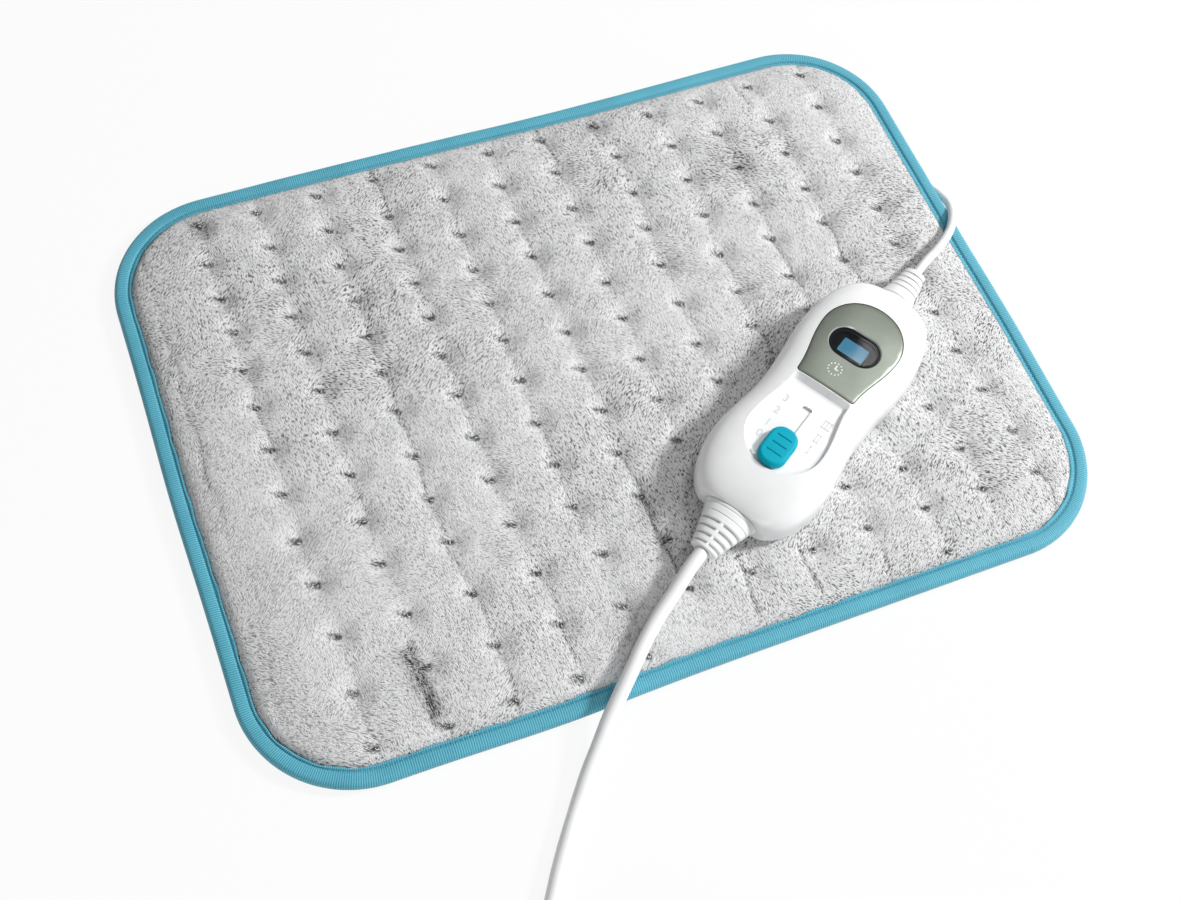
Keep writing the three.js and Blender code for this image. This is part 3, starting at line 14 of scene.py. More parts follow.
import bmesh
import bpy
import numpy as np
from mathutils import Matrix, Vector, noise
from mathutils.bvhtree import BVHTree
from mathutils.geometry import delaunay_2d_cdt
from mathutils.kdtree import KDTree


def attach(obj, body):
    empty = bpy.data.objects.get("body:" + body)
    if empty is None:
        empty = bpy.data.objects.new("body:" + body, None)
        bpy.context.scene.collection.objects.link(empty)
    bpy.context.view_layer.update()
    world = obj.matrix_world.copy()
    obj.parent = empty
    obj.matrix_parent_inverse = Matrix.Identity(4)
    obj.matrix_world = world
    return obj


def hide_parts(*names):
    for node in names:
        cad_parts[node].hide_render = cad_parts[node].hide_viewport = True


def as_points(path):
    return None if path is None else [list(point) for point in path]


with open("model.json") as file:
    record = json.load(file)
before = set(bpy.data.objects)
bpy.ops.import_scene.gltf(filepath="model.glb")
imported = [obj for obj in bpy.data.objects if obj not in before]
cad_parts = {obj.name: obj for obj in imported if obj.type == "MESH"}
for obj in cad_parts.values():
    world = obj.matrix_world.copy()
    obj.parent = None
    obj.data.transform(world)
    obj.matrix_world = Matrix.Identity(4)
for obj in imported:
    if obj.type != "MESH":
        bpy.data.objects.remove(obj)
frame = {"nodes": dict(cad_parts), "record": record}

MM = 0.001
SEED = 7
FIXED_BODY = "pad_and_housing"
SLIDER_BODY = "slider"
CRISP_ANGLE = 40.0
CONTROLLER_PLACE = (81.0, -56.4, 11.5)
CONTROLLER_TURN = 32.4
Pair = tuple[float, float]
Triple = tuple[float, float, float]
Colour = Triple
Points = np.ndarray
Faces = list[tuple[int, ...]]
Shape = tuple[Points, Faces]
Piece = bpy.types.Object
Material = bpy.types.Material
Socket = bpy.types.NodeSocket

log = logging.getLogger("heating_pad")


# Meshes from rings and grids of points


def smoothstep(value: Points, low: float, high: float) -> Points:
    """Gives 0 below low, 1 above high and a smooth step between them."""
    share = np.clip((value - low) / (high - low), 0.0, 1.0)
    return share * share * (3.0 - 2.0 * share)


def grid_faces(rows: int, columns: int, closed: bool = False) -> Faces:
    """Lists the quads of a grid of points.

    Args:
        rows: Number of rows of points.
        columns: Number of points in a row.
        closed: Whether the last column joins the first.

    Returns:
        Quads whose front is up when x runs along columns and y along rows.
    """
    faces = []
    for row in range(rows - 1):
        for column in range(columns if closed else columns - 1):
            after = (column + 1) % columns
            low, high = row * columns, (row + 1) * columns
            faces.append((low + column, low + after, high + after, high + column))
    return faces


class Ends(Enum):
    """What a loft does at its first and last ring."""

    CAPPED = "each end closed by a face"
    OPEN = "both ends left open"
    JOINED = "last ring joined to the first"


def loft(rings: Sequence[Points], ends: Ends = Ends.CAPPED) -> Shape:
    """Joins closed rings of equal point counts into one surface.

    Args:
        rings: Rings that run the same way round, each of shape (count, 3).
        ends: What happens at the first and last ring.

    Returns:
        The points and the faces.
    """
    count = len(rings[0])
    faces = grid_faces(len(rings), count, closed=True)
    last = (len(rings) - 1) * count
    if ends is Ends.CAPPED:
        faces.append(tuple(reversed(range(count))))
        faces.append(tuple(range(last, last + count)))
    if ends is Ends.JOINED:
        for step in range(count):
            after = (step + 1) % count
            faces.append((last + step, last + after, after, step))
    return np.concatenate(rings), faces


def joined(*shapes: Shape) -> Shape:
    """Puts shapes into one list of points and one of faces.

    Args:
        shapes: Points and faces of each shape.

    Returns:
        The points and faces of all.
    """
    points, faces, start = [], [], 0
    for shape, shape_faces in shapes:
        points.append(shape)
        faces += [tuple(start + index for index in face) for face in shape_faces]
        start += len(shape)
    return np.concatenate(points), faces


def new_piece(name: str, points: Points, faces: Sequence[Sequence[int]], *looks: Material) -> Piece:
    """Makes a smooth shaded mesh object from points in millimetres.

    Args:
        name: Name of the piece.
        points: Points of shape (count, 3), in millimetres.
        faces: Point indices of each face.
        looks: Materials, the first of which every face takes.

    Returns:
        The new object, at the origin.
    """
    mesh = bpy.data.meshes.new(name)
    mesh.from_pydata((np.asarray(points) * MM).tolist(), [], [tuple(face) for face in faces])
    mesh.validate()
    mesh.shade_smooth()
    for look in looks:
        mesh.materials.append(look)
    piece = bpy.data.objects.new(name, mesh)
    bpy.context.scene.collection.objects.link(piece)
    return piece


def add_attribute(piece: Piece, name: str, values: Points) -> None:
    """Stores one number for each point of a piece."""
    attribute = piece.data.attributes.new(name, "FLOAT", "POINT")
    attribute.data.foreach_set("value", np.asarray(values, np.float32))


def add_uv(piece: Piece, name: str, places: Points, lap: float) -> None:
    """Stores a UV map of a strip that is closed to a ring.

    Args:
        piece: The piece.
        name: Name of the map.
        places: Place along and across for each point.
        lap: Length along the whole ring, which the faces that close it count on to.
    """
    layer = piece.data.uv_layers.new(name=name)
    for face in piece.data.polygons:
        along = [places[index][0] for index in face.vertices]
        for corner, index in zip(face.loop_indices, face.vertices):
            on = lap if max(along) - places[index][0] > lap / 2 else 0.0
            layer.data[corner].uv = (places[index][0] + on, places[index][1])


def outward(piece: Piece) -> None:
    """Merges double points of a closed piece and turns its faces outwards.

    Args:
        piece: A closed piece, whose faces may point either way.
    """
    work = bmesh.new()
    work.from_mesh(piece.data)
    bmesh.ops.remove_doubles(work, verts=work.verts, dist=1e-6)
    bmesh.ops.recalc_face_normals(work, faces=work.faces)
    work.to_mesh(piece.data)
    work.free()


def thicken(piece: Piece, thickness: float) -> None:
    """Gives a sheet a thickness below its surface.

    Args:
        piece: The sheet.
        thickness: Its thickness.
    """
    wall = piece.modifiers.new("wall", "SOLIDIFY")
    wall.thickness = thickness * MM
    wall.offset = -1.0
    graph = bpy.context.evaluated_depsgraph_get()
    result = bpy.data.meshes.new_from_object(piece.evaluated_get(graph))
    sheet = piece.data
    piece.modifiers.clear()
    piece.data = result
    bpy.data.meshes.remove(sheet)


def sharpen(piece: Piece, degrees: float = CRISP_ANGLE) -> None:
    """Keeps edges sharper than an angle crisp in the smooth shading."""
    piece.data.set_sharp_from_angle(angle=math.radians(degrees))


def hand_over(piece: Piece, slot: str, *nodes: str, body: str = FIXED_BODY) -> Piece:
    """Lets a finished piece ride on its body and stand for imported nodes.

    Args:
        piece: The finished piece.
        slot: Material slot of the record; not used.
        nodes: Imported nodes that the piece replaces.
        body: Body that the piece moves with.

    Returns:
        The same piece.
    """
    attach(piece, body)
    if nodes:
        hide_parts(*nodes)
    stands_for = ", ".join(nodes) or "its own sake"
    log.info("%s: %d points, for %s", piece.name, len(piece.data.vertices), stands_for)
    return piece


def close_up(
    piece: Piece, slot: str, *nodes: str, crisp: float = CRISP_ANGLE, body: str = FIXED_BODY
) -> Piece:
    """Finishes a closed piece: faces outwards, crisp edges, and over to its body.

    Args:
        piece: The piece, whose faces may point either way.
        slot: Material slot of the record.
        nodes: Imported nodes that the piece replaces.
        crisp: Angle above which an edge stays crisp.
        body: Body that the piece moves with.

    Returns:
        The same piece.
    """
    outward(piece)
    sharpen(piece, crisp)
    return hand_over(piece, slot, *nodes, body=body)


# Lines and outlines


def round_angles(count: int) -> Points:
    """Angles evenly round a circle."""
    return np.arange(count) * 2 * math.pi / count


def at_level(loop: Points, level: Union[Points, float]) -> Points:
    """Puts a plane loop at a height."""
    return np.column_stack([loop, np.broadcast_to(level, len(loop))])


def ring_across(x: float, middle: Pair, radii: Sequence[Any], around: Points) -> Points:
    """A round or oval ring that stands across the x axis, from its middle and radii in y and z.

    Args:
        x: Place along the axis.
        middle: Middle in y and z.
        radii: Radii in y and z.
        around: Angles of the points.

    Returns:
        Points of shape (count, 3).
    """
    y = middle[0] + radii[0] * np.cos(around)
    z = middle[1] + radii[1] * np.sin(around)
    return np.column_stack([np.full(len(around), x), y, z])


def turned(points: Points, degrees: float) -> Points:
    """Turns points about the z axis.

    Args:
        points: Points of shape (count, 2) or (count, 3).
        degrees: Angle, anticlockwise from above.

    Returns:
        The turned points.
    """
    turn = math.radians(degrees)
    x = points[:, 0] * math.cos(turn) - points[:, 1] * math.sin(turn)
    y = points[:, 0] * math.sin(turn) + points[:, 1] * math.cos(turn)
    return np.column_stack([x, y, points[:, 2:]])


def travel_along(line: Points) -> Points:
    """Distance of each point of a line from its start, along the line."""
    return np.concatenate([[0.0], np.cumsum(np.linalg.norm(np.diff(line, axis=0), axis=1))])


def noise_at(places: Points, waves: float, layer: float) -> Points:
    """Soft noise at places, with a number of waves in each millimetre."""
    return np.array([noise.noise((x * waves, y * waves, layer)) for x, y in places])


def tree_of(places: Points) -> KDTree:
    """A search tree of places in a plane.

    Args:
        places: Places of shape (count, 2).

    Returns:
        The tree.
    """
    tree = KDTree(len(places))
    for index, (x, y) in enumerate(places):
        tree.insert((x, y, 0.0), index)
    tree.balance()
    return tree


def rounded_rectangle(length: float, width: float, radius: float, steps: int) -> Points:
    """Points round a rectangle with round corners, anticlockwise from its lower right.

    Args:
        length: Size along x.
        width: Size along y.
        radius: Radius of the corners.
        steps: Steps round each corner.

    Returns:
        Points of shape (count, 2), round the origin.
    """
    corners = [(1, -1), (1, 1), (-1, 1), (-1, -1)]
    points = []
    for corner, (side_x, side_y) in enumerate(corners):
        for step in range(steps + 1):
            angle = (corner - 1 + step / steps) * math.pi / 2
            x = side_x * (length / 2 - radius) + radius * math.cos(angle)
            y = side_y * (width / 2 - radius) + radius * math.sin(angle)
            points.append((x, y))
    return np.array(points)


def rounded_inset(length: float, width: float, radius: float, places: Points) -> Points:
    """Distance of places from the edge of a rectangle with round corners, towards its inside.

    Args:
        length: Size along x.
        width: Size along y.
        radius: Radius of the corners.
        places: Places of shape (count, 2).

    Returns:
        The distances, below 0 outside.
    """
    side = np.abs(places) - (np.array([length, width]) / 2 - radius)
    outside = np.hypot(*np.maximum(side, 0.0).T)
    return radius - outside - np.minimum(side.max(axis=1), 0.0)


def rounded_grid(length: float, width: float, radius: float, step: float) -> tuple[Points, int, int]:
    """Places of a grid that fills a rectangle with round corners right up to its edge.

    Args:
        length: Size along x.
        width: Size along y.
        radius: Radius of the corners.
        step: Distance between the places, about.

    Returns:
        The places of shape (rows * columns, 2), and the numbers of rows and columns.
    """

    def line(half: float) -> Points:
        """Places along one axis, with a whole number of steps in the corners.

        Args:
            half: Half the size along the axis.

        Returns:
            The places, rising.
        """
        corner_steps = max(2, round(radius / step))
        straight = half - radius
        middle = np.linspace(-straight, straight, max(2, round(2 * straight / step) + 1))
        ends = straight + np.arange(1, corner_steps + 1) / corner_steps * radius
        return np.concatenate([-ends[::-1], middle, ends])

    x, y = np.meshgrid(line(length / 2), line(width / 2))
    places = np.stack([x.ravel(), y.ravel()], axis=1)
    start = np.array([length, width]) / 2 - radius
    beyond = np.maximum(np.abs(places) - start, 0.0) / radius
    round_share = np.sqrt(1.0 - 0.5 * beyond[:, ::-1] ** 2)
    places = np.sign(places) * (np.minimum(np.abs(places), start) + radius * beyond * round_share)
    return places, len(y), len(x[0])


def grid_edge(rows: int, columns: int) -> list[int]:
    """Indices of a grid's edge points, anticlockwise.

    Args:
        rows: Number of rows.
        columns: Number of columns.

    Returns:
        The indices.
    """
    bottom = list(range(columns))
    right = [row * columns + columns - 1 for row in range(1, rows)]
    top = [(rows - 1) * columns + column for column in range(columns - 2, -1, -1)]
    left = [row * columns for row in range(rows - 2, 0, -1)]
    return bottom + right + top + left


def two_sided(upper: Points, lower: Points, rows: int, columns: int) -> Shape:
    """Closes an upper and a lower grid of equal counts round their edge.

    Args:
        upper: Points of the upper grid.
        lower: Points of the lower grid.
        rows: Number of rows of each.
        columns: Number of columns of each.

    Returns:
        The points and the faces.
    """
    count = rows * columns
    faces = grid_faces(rows, columns)
    faces += [tuple(count + index for index in reversed(face)) for face in grid_faces(rows, columns)]
    edge = grid_edge(rows, columns)
    for here, after in zip(edge, edge[1:] + edge[:1]):
        faces.append((here, count + here, count + after, after))
    return np.concatenate([upper, lower]), faces


def even_steps(line: Points, count: int, closed: bool = False) -> Points:
    """Places points at even distances along a line.

    Args:
        line: Points of the line, of shape (many, 2) or (many, 3).
        count: Number of points wanted.
        closed: Whether the line returns to its start, which then isn't repeated.

    Returns:
        The evenly spaced points.
    """
    if closed:
        line = np.vstack([line, line[:1]])
    travel = travel_along(line)
    wanted = np.linspace(0.0, travel[-1], count, endpoint=not closed)
    return np.stack([np.interp(wanted, travel, part) for part in line.T], axis=1)


def bezier(corners: Sequence[Pair], steps: int = 40) -> Points:
    """Points along a cubic curve from the first of its four corners to the last.

    Args:
        corners: The four corners.
        steps: Number of points.

    Returns:
        Points of shape (steps, 2).
    """
    t = np.linspace(0.0, 1.0, steps)[:, None]
    a, b, c, d = np.array(corners)
    return (1 - t) ** 3 * a + 3 * (1 - t) ** 2 * t * b + 3 * (1 - t) * t**2 * c + t**3 * d


def arc(middle: Pair, radius: float, start: float, end: float, steps: int = 60) -> Points:
    """Points along a circular arc between two angles in degrees."""
    angles = np.radians(np.linspace(start, end, steps))
    return np.stack([middle[0] + radius * np.cos(angles), middle[1] + radius * np.sin(angles)], axis=1)


def between(t: Points, low: float, high: float, first: Points, second: Points) -> Points:
    """Points on the way from a first point at a low time to a second at a high time."""
    return (high - t) / (high - low) * first + (t - low) / (high - low) * second


def smooth_route(points: Sequence[Sequence[float]], spacing: float, steps: int = 24) -> Points:
    """Points along a centripetal Catmull-Rom curve, at even distances.

    Args:
        points: Points that the curve passes.
        spacing: Distance between the points of the result.
        steps: Points that each stretch of the curve is worked out at.

    Returns:
        The points of the curve, its ends included.
    """
    route = np.array(points, float)
    route = np.vstack([2 * route[0] - route[1], route, 2 * route[-1] - route[-2]])
    stretches = []
    for here in range(1, len(route) - 2):
        a, b, c, d = route[here - 1 : here + 3]
        spans = [np.linalg.norm(q - p) ** 0.5 for p, q in ((a, b), (b, c), (c, d))]
        times = np.cumsum([0.0] + spans)
        t = np.linspace(times[1], times[2], steps)[:, None]
        ab = between(t, times[0], times[1], a, b)
        bc = between(t, times[1], times[2], b, c)
        cd = between(t, times[2], times[3], c, d)
        abc = between(t, times[0], times[2], ab, bc)
        bcd = between(t, times[1], times[3], bc, cd)
        stretches.append(between(t, times[1], times[2], abc, bcd))
    line = np.vstack(stretches)
    return even_steps(line, max(2, round(travel_along(line)[-1] / spacing) + 1))


def tube(path: Points, radius: float, sides: int) -> Shape:
    """A round tube along a path, with flat ends.

    Args:
        path: Points along its middle, of shape (count, 3).
        radius: Its radius.
        sides: Number of points round it.

    Returns:
        The points and the faces.
    """
    along = np.gradient(path, axis=0)
    along /= np.linalg.norm(along, axis=1)[:, None]
    across = np.cross(along[0], (0.0, 0.0, 1.0))
    across /= np.linalg.norm(across)
    around = round_angles(sides)[:, None]
    rings = []
    for point, direction in zip(path, along):
        across = across - direction * (across @ direction)
        across /= np.linalg.norm(across)
        up = np.cross(direction, across)
        rings.append(point + radius * (np.cos(around) * across + np.sin(around) * up))
    return loft(rings)


# Shader and geometry trees


class Amount:
    """A number that varies over a surface, written in plain sums and products."""

    def __init__(self, tree: "Tree", socket: Socket) -> None:
        """Wraps an output socket of a tree."""
        self.tree = tree
        self.socket = socket

    def _with(self, operation: str, *others: Union["Amount", float], swap: bool = False) -> "Amount":
        """Adds one Math node for an operation on this amount and others.

        Args:
            operation: The operation's name.
            others: What else it works on.
            swap: Whether the order is turned round.

        Returns:
            The result.
        """
        values = [self, *others]
        if swap:
            values.reverse()
        made = self.tree.node("Math", {"operation": operation}, dict(enumerate(values)))
        return Amount(self.tree, made.outputs[0])

    def __add__(self, other: Union["Amount", float]) -> "Amount":
        """Adds."""
        return self._with("ADD", other)

    def __radd__(self, other: float) -> "Amount":
        """Adds to a plain number."""
        return self._with("ADD", other, swap=True)

    def __sub__(self, other: Union["Amount", float]) -> "Amount":
        """Takes away."""
        return self._with("SUBTRACT", other)

    def __rsub__(self, other: float) -> "Amount":
        """Is taken away from a plain number."""
        return self._with("SUBTRACT", other, swap=True)

    def __mul__(self, other: Union["Amount", float]) -> "Amount":
        """Multiplies."""
        return self._with("MULTIPLY", other)

    def __rmul__(self, other: float) -> "Amount":
        """Multiplies a plain number."""
        return self._with("MULTIPLY", other, swap=True)

    def sine(self) -> "Amount":
        """Gives the sine of an angle in radians."""
        return self._with("SINE")

    def step(self, low: float, high: float, start: float = 0.0, end: float = 1.0) -> "Amount":
        """Maps a span smoothly to another one.

        Args:
            low: Value that gives start.
            high: Value that gives end.
            start: Result at and below low.
            end: Result at and above high.

        Returns:
            The mapped amount.
        """
        inputs = {"Value": self, "From Min": low, "From Max": high, "To Min": start, "To Max": end}
        made = self.tree.node("MapRange", {"interpolation_type": "SMOOTHSTEP"}, inputs)
        return Amount(self.tree, made.outputs[0])


SocketValue = Union[Amount, Socket, float, int, bool, Sequence[float], str, Material]
Settings = Optional[Mapping[str, Any]]
Inputs = Optional[Mapping[Union[str, int], SocketValue]]


class Tree:
    """A node tree with one method that adds any node."""

    prefix = "ShaderNode"

    def __init__(self, tree: bpy.types.NodeTree) -> None:
        """Starts from an empty tree."""
        self.tree = tree
        self.tree.nodes.clear()

    def node(self, kind: str, settings: Settings = None, inputs: Inputs = None) -> bpy.types.Node:
        """Adds a node, sets it up and then fills or links its sockets.

        Args:
            kind: Type of the node, with or without its prefix.
            settings: Values of the node's own settings.
            inputs: Value or link of each socket, by name or place.

        Returns:
            The new node.
        """
        full = kind if "Node" in kind else self.prefix + kind
        made = self.tree.nodes.new(full)
        for name, value in (settings or {}).items():
            setattr(made, name, value)
        for key, value in (inputs or {}).items():
            self.put(made.inputs[key], value)
        return made

    def put(self, socket: Socket, value: SocketValue) -> None:
        """Links a socket to what drives it, or sets its value.

        Args:
            socket: Input of a node.
            value: What is linked to it or set in it.
        """
        source = value.socket if isinstance(value, Amount) else value
        if isinstance(source, Socket):
            self.tree.links.new(source, socket)
        else:
            socket.default_value = source


class Finish(Tree):
    """A material with a Principled surface."""

    def __init__(self, name: str) -> None:
        """Makes an empty material of that name.

        Args:
            name: Name of the finish.
        """
        self.material = bpy.data.materials.new(f"{name}_finish")
        self.material.use_nodes = True
        super().__init__(self.material.node_tree)
        self.shader = self.node("BsdfPrincipled")
        self.node("OutputMaterial", inputs={"Surface": self.shader.outputs[0]})

    def surface(self, **values: SocketValue) -> Material:
        """Sets sockets of the surface by their names with underscores for spaces.

        Args:
            values: Value or link of each socket.

        Returns:
            The material.
        """
        for name, value in values.items():
            socket = self.shader.inputs[name.replace("_", " ").title().replace("Ior", "IOR")]
            if isinstance(value, tuple) and len(value) == 3:
                value = (*value, 1.0)
            self.put(socket, value)
        return self.material

    def place(self, turn: float = 0.0, scale: Colour = (1.0, 1.0, 1.0)) -> Socket:
        """The place on the object in metres, turned about Z in degrees and then scaled.

        Args:
            turn: Angle in degrees.
            scale: Factor along each axis.

        Returns:
            The place.
        """
        source = self.node("TexCoord").outputs["Object"]
        turned = self.node("Mapping", inputs={"Vector": source, "Rotation": (0.0, 0.0, math.radians(turn))})
        return self.node("Mapping", inputs={"Vector": turned.outputs[0], "Scale": scale}).outputs[0]

    def noise(self, where: Socket, scale: float = 1.0, detail: float = 2.0) -> Amount:
        """Soft noise from 0 to 1 with a number of waves in each unit."""
        made = self.node("TexNoise", inputs={"Vector": where, "Scale": scale, "Detail": detail})
        return Amount(self, made.outputs[0])

    def stored(self, name: str) -> Amount:
        """A number that the mesh stores for each point."""
        return Amount(self, self.node("Attribute", {"attribute_name": name}).outputs["Fac"])

    def map_part(self, name: str, axis: int) -> Amount:
        """One axis of a UV map."""
        split = self.node("SeparateXYZ", inputs={0: self.node("UVMap", {"uv_map": name}).outputs[0]})
        return Amount(self, split.outputs[axis])

    def blend(self, share: Union[Amount, float], first: Any, second: Any) -> Socket:
        """Mixes two colours.

        Args:
            share: Share of the second colour.
            first: First colour or its socket.
            second: Second colour or its socket.

        Returns:
            The mixed colour.
        """
        pair = [(*colour, 1.0) if isinstance(colour, tuple) else colour for colour in (first, second)]
        made = self.node("Mix", {"data_type": "RGBA"}, {0: share, 6: pair[0], 7: pair[1]})
        return made.outputs[2]

    def relief(self, height: Amount, depth: float, strength: float = 1.0) -> Socket:
        """A bumped normal from a height that is depth metres high at 1."""
        made = self.node("Bump", inputs={"Strength": strength, "Distance": depth, "Height": height})
        return made.outputs[0]


class Growth(Tree):
    """A Geometry Nodes tree that turns one object's mesh into a new mesh."""

    prefix = "GeometryNode"

    def __init__(self, name: str, **sizes: float) -> None:
        """Makes a tree with named number inputs and their values.

        Args:
            name: Name of the tree.
            sizes: Value of each input.
        """
        group = bpy.data.node_groups.new(name, "GeometryNodeTree")
        super().__init__(group)
        face = group.interface
        face.new_socket("Geometry", in_out="OUTPUT", socket_type="NodeSocketGeometry")
        face.new_socket("Geometry", in_out="INPUT", socket_type="NodeSocketGeometry")
        self.sizes = sizes
        for size in sizes:
            face.new_socket(size, in_out="INPUT", socket_type="NodeSocketFloat")
        self.given = self.node("NodeGroupInput")
        self.result = self.node("NodeGroupOutput")

    def size(self, name: str) -> Amount:
        """One of the tree's named inputs."""
        return Amount(self, self.given.outputs[name])

    def stored(self, name: str) -> Socket:
        """A number that the mesh stores for each point."""
        return self.node("InputNamedAttribute", {"data_type": "FLOAT"}, {"Name": name}).outputs[0]

    def vector(self, **parts: SocketValue) -> Socket:
        """A vector from its X, Y and Z parts."""
        return self.node("ShaderNodeCombineXYZ", inputs=parts).outputs[0]

    def node(self, kind: str, settings: Settings = None, inputs: Inputs = None) -> bpy.types.Node:
        """Adds a node, where Math nodes come from the shader set."""
        return super().node("ShaderNodeMath" if kind == "Math" else kind, settings, inputs)

    def end(self, instances: Socket, look: Material) -> None:
        """Turns instances into one mesh with a material.

        Args:
            instances: The instances.
            look: The material.
        """
        real = self.node("RealizeInstances", inputs={"Geometry": instances})
        dressed = self.node("SetMaterial", inputs={"Geometry": real.outputs[0], "Material": look})
        self.put(self.result.inputs[0], dressed.outputs[0])

    def grow(self, name: str, base: Piece) -> Piece:
        """Runs the tree on an object and returns the result as a plain piece.

        Args:
            name: Name of the new piece.
            base: Object whose mesh the tree reads.

        Returns:
            The new piece, at the origin.
        """
        modifier = base.modifiers.new("growth", "NODES")
        modifier.node_group = self.tree
        for item in self.tree.interface.items_tree:
            if item.in_out == "INPUT" and item.name in self.sizes:
                modifier[item.identifier] = self.sizes[item.name]
        graph = bpy.context.evaluated_depsgraph_get()
        mesh = bpy.data.meshes.new_from_object(base.evaluated_get(graph))
        base.modifiers.remove(modifier)
        mesh.name = name
        piece = bpy.data.objects.new(name, mesh)
        bpy.context.scene.collection.objects.link(piece)
        return piece

    def plant(
        self, name: str, shape: Socket, seeds: Piece, look: Material, **placing: SocketValue
    ) -> Piece:
        """Sets a shape on every point of a mesh, which is removed afterwards.

        Args:
            name: Name of the new piece.
            shape: Mesh that is repeated.
            seeds: Mesh of single points.
            look: Material of the new piece.
            placing: Rotation and Scale of the shape at each point, where it has them.

        Returns:
            The new piece, at the origin.
        """
        sockets = {"Points": self.given.outputs["Geometry"], "Instance": shape, **placing}
        placed = self.node("InstanceOnPoints", inputs=sockets)
        self.end(placed.outputs[0], look)
        piece = self.grow(name, seeds)
        bpy.data.objects.remove(seeds)
        return piece


# Finishes

WHITE: Colour = (0.90, 0.905, 0.91)
OFF_WHITE: Colour = (0.86, 0.865, 0.87)


@dataclass(frozen=True)
class Plush:
    """Light grey fleece whose fibres are combed to lie in different directions from place to place."""

    light: Colour = (0.77, 0.77, 0.775)
    shade: Colour = (0.085, 0.085, 0.088)
    pinch: Colour = (0.03, 0.03, 0.033)
    brushed: Colour = (0.025, 0.025, 0.027)
    strokes: Colour = (560.0, 2000.0, 1200.0)
    turns: tuple[float, ...] = (35.0, -40.0, 80.0)
    patch_scale: float = 26.0
    fibre_depth: float = 0.0009

    def build(self) -> Material:
        """Makes the material; the mesh stores the tufts, whose dips get painted shade, the painted shade
        beside the tufts, in the folds, in the seams and along the tape, and the dark bands of raised fibres
        with painted crease shade.

        Returns:
            The material.
        """
        look = Finish("plush")
        layers = [look.noise(look.place(turn, self.strokes), 1.0, 3.0) for turn in self.turns]
        patch = look.noise(look.place(), self.patch_scale, 1.0)
        first = patch.step(0.42, 0.5)
        second = look.noise(look.place(90.0), self.patch_scale, 1.0).step(0.44, 0.54)
        fibres = layers[0] * (1.0 - first) + layers[1] * first
        fibres = fibres * (1.0 - second * 0.7) + layers[2] * (second * 0.7)
        smooth = look.noise(look.place(), 9.0, 2.0).step(0.36, 0.62, 0.45, 1.0)
        # Dark gaps between the fibre strokes: painted shade between the fibres.
        gaps = (1.0 - fibres.step(0.38, 0.5)) * smooth
        tuft = look.stored("tuft")
        coat = look.blend(gaps, self.light, self.shade)
        # Painted shade beside the tufts, in the folds and seams and along the tape, deepest between the
        # fibre strokes.
        shade_share = look.stored("painted_shade") * (1.25 - fibres.step(0.3, 0.7))
        coat = look.blend(shade_share.step(0.05, 0.95, 0.0, 0.85), coat, self.pinch)
        # Painted shade in the dip at each tuft.
        coat = look.blend(tuft.step(0.15, 1.0, 0.0, 0.9), coat, self.pinch)
        # Dark bands: raised fibres together with painted crease shade.
        band_share = look.stored("fibre_and_shade") * (1.5 - fibres.step(0.34, 0.6))
        coat = look.blend(band_share, coat, self.brushed)
        return look.surface(
            base_color=coat,
            roughness=0.95,
            sheen_weight=0.25,
            sheen_roughness=0.5,
            specular_ior_level=0.15,
            normal=look.relief(fibres, self.fibre_depth, 0.9),
        )


@dataclass(frozen=True)
class Pile:
    """The separate locks of fibre that stand out of the fleece."""

    dark: Colour = (0.025, 0.025, 0.027)
    root: Colour = (0.38, 0.38, 0.385)
    tip: Colour = (0.90, 0.90, 0.905)

    def build(self) -> Material:
        """Makes the material; the mesh stores a tone for each lock, which carries the painted shade of the
        cover below it.

        Returns:
            The material.
        """
        look = Finish("pile")
        tone = look.stored("tone")
        coat = look.blend(tone.step(0.0, 0.35), self.dark, self.root)
        return look.surface(
            base_color=look.blend(tone.step(0.3, 1.0), coat, self.tip),
            roughness=0.95,
            sheen_weight=0.25,
            specular_ior_level=0.1,
        )


@dataclass(frozen=True)
class Fleece:
    """Plain short fleece of the underside and of the filling."""

    name: str = "fleece"
    light: Colour = (0.64, 0.645, 0.65)
    shade: Colour = (0.40, 0.40, 0.41)
    scale: float = 900.0

    def build(self) -> Material:
        """Makes the material.

        Returns:
            The material.
        """
        look = Finish(self.name)
        fibres = look.noise(look.place(20.0, (0.5, 1.0, 1.0)), self.scale, 3.0)
        clouds = look.noise(look.place(), 40.0)
        lit = fibres.step(0.3, 0.6) * clouds.step(0.2, 0.7, 0.6, 1.0)
        return look.surface(
            base_color=look.blend(lit, self.shade, self.light),
            roughness=0.95,
            sheen_weight=0.2,
            normal=look.relief(fibres, 0.0004),
        )


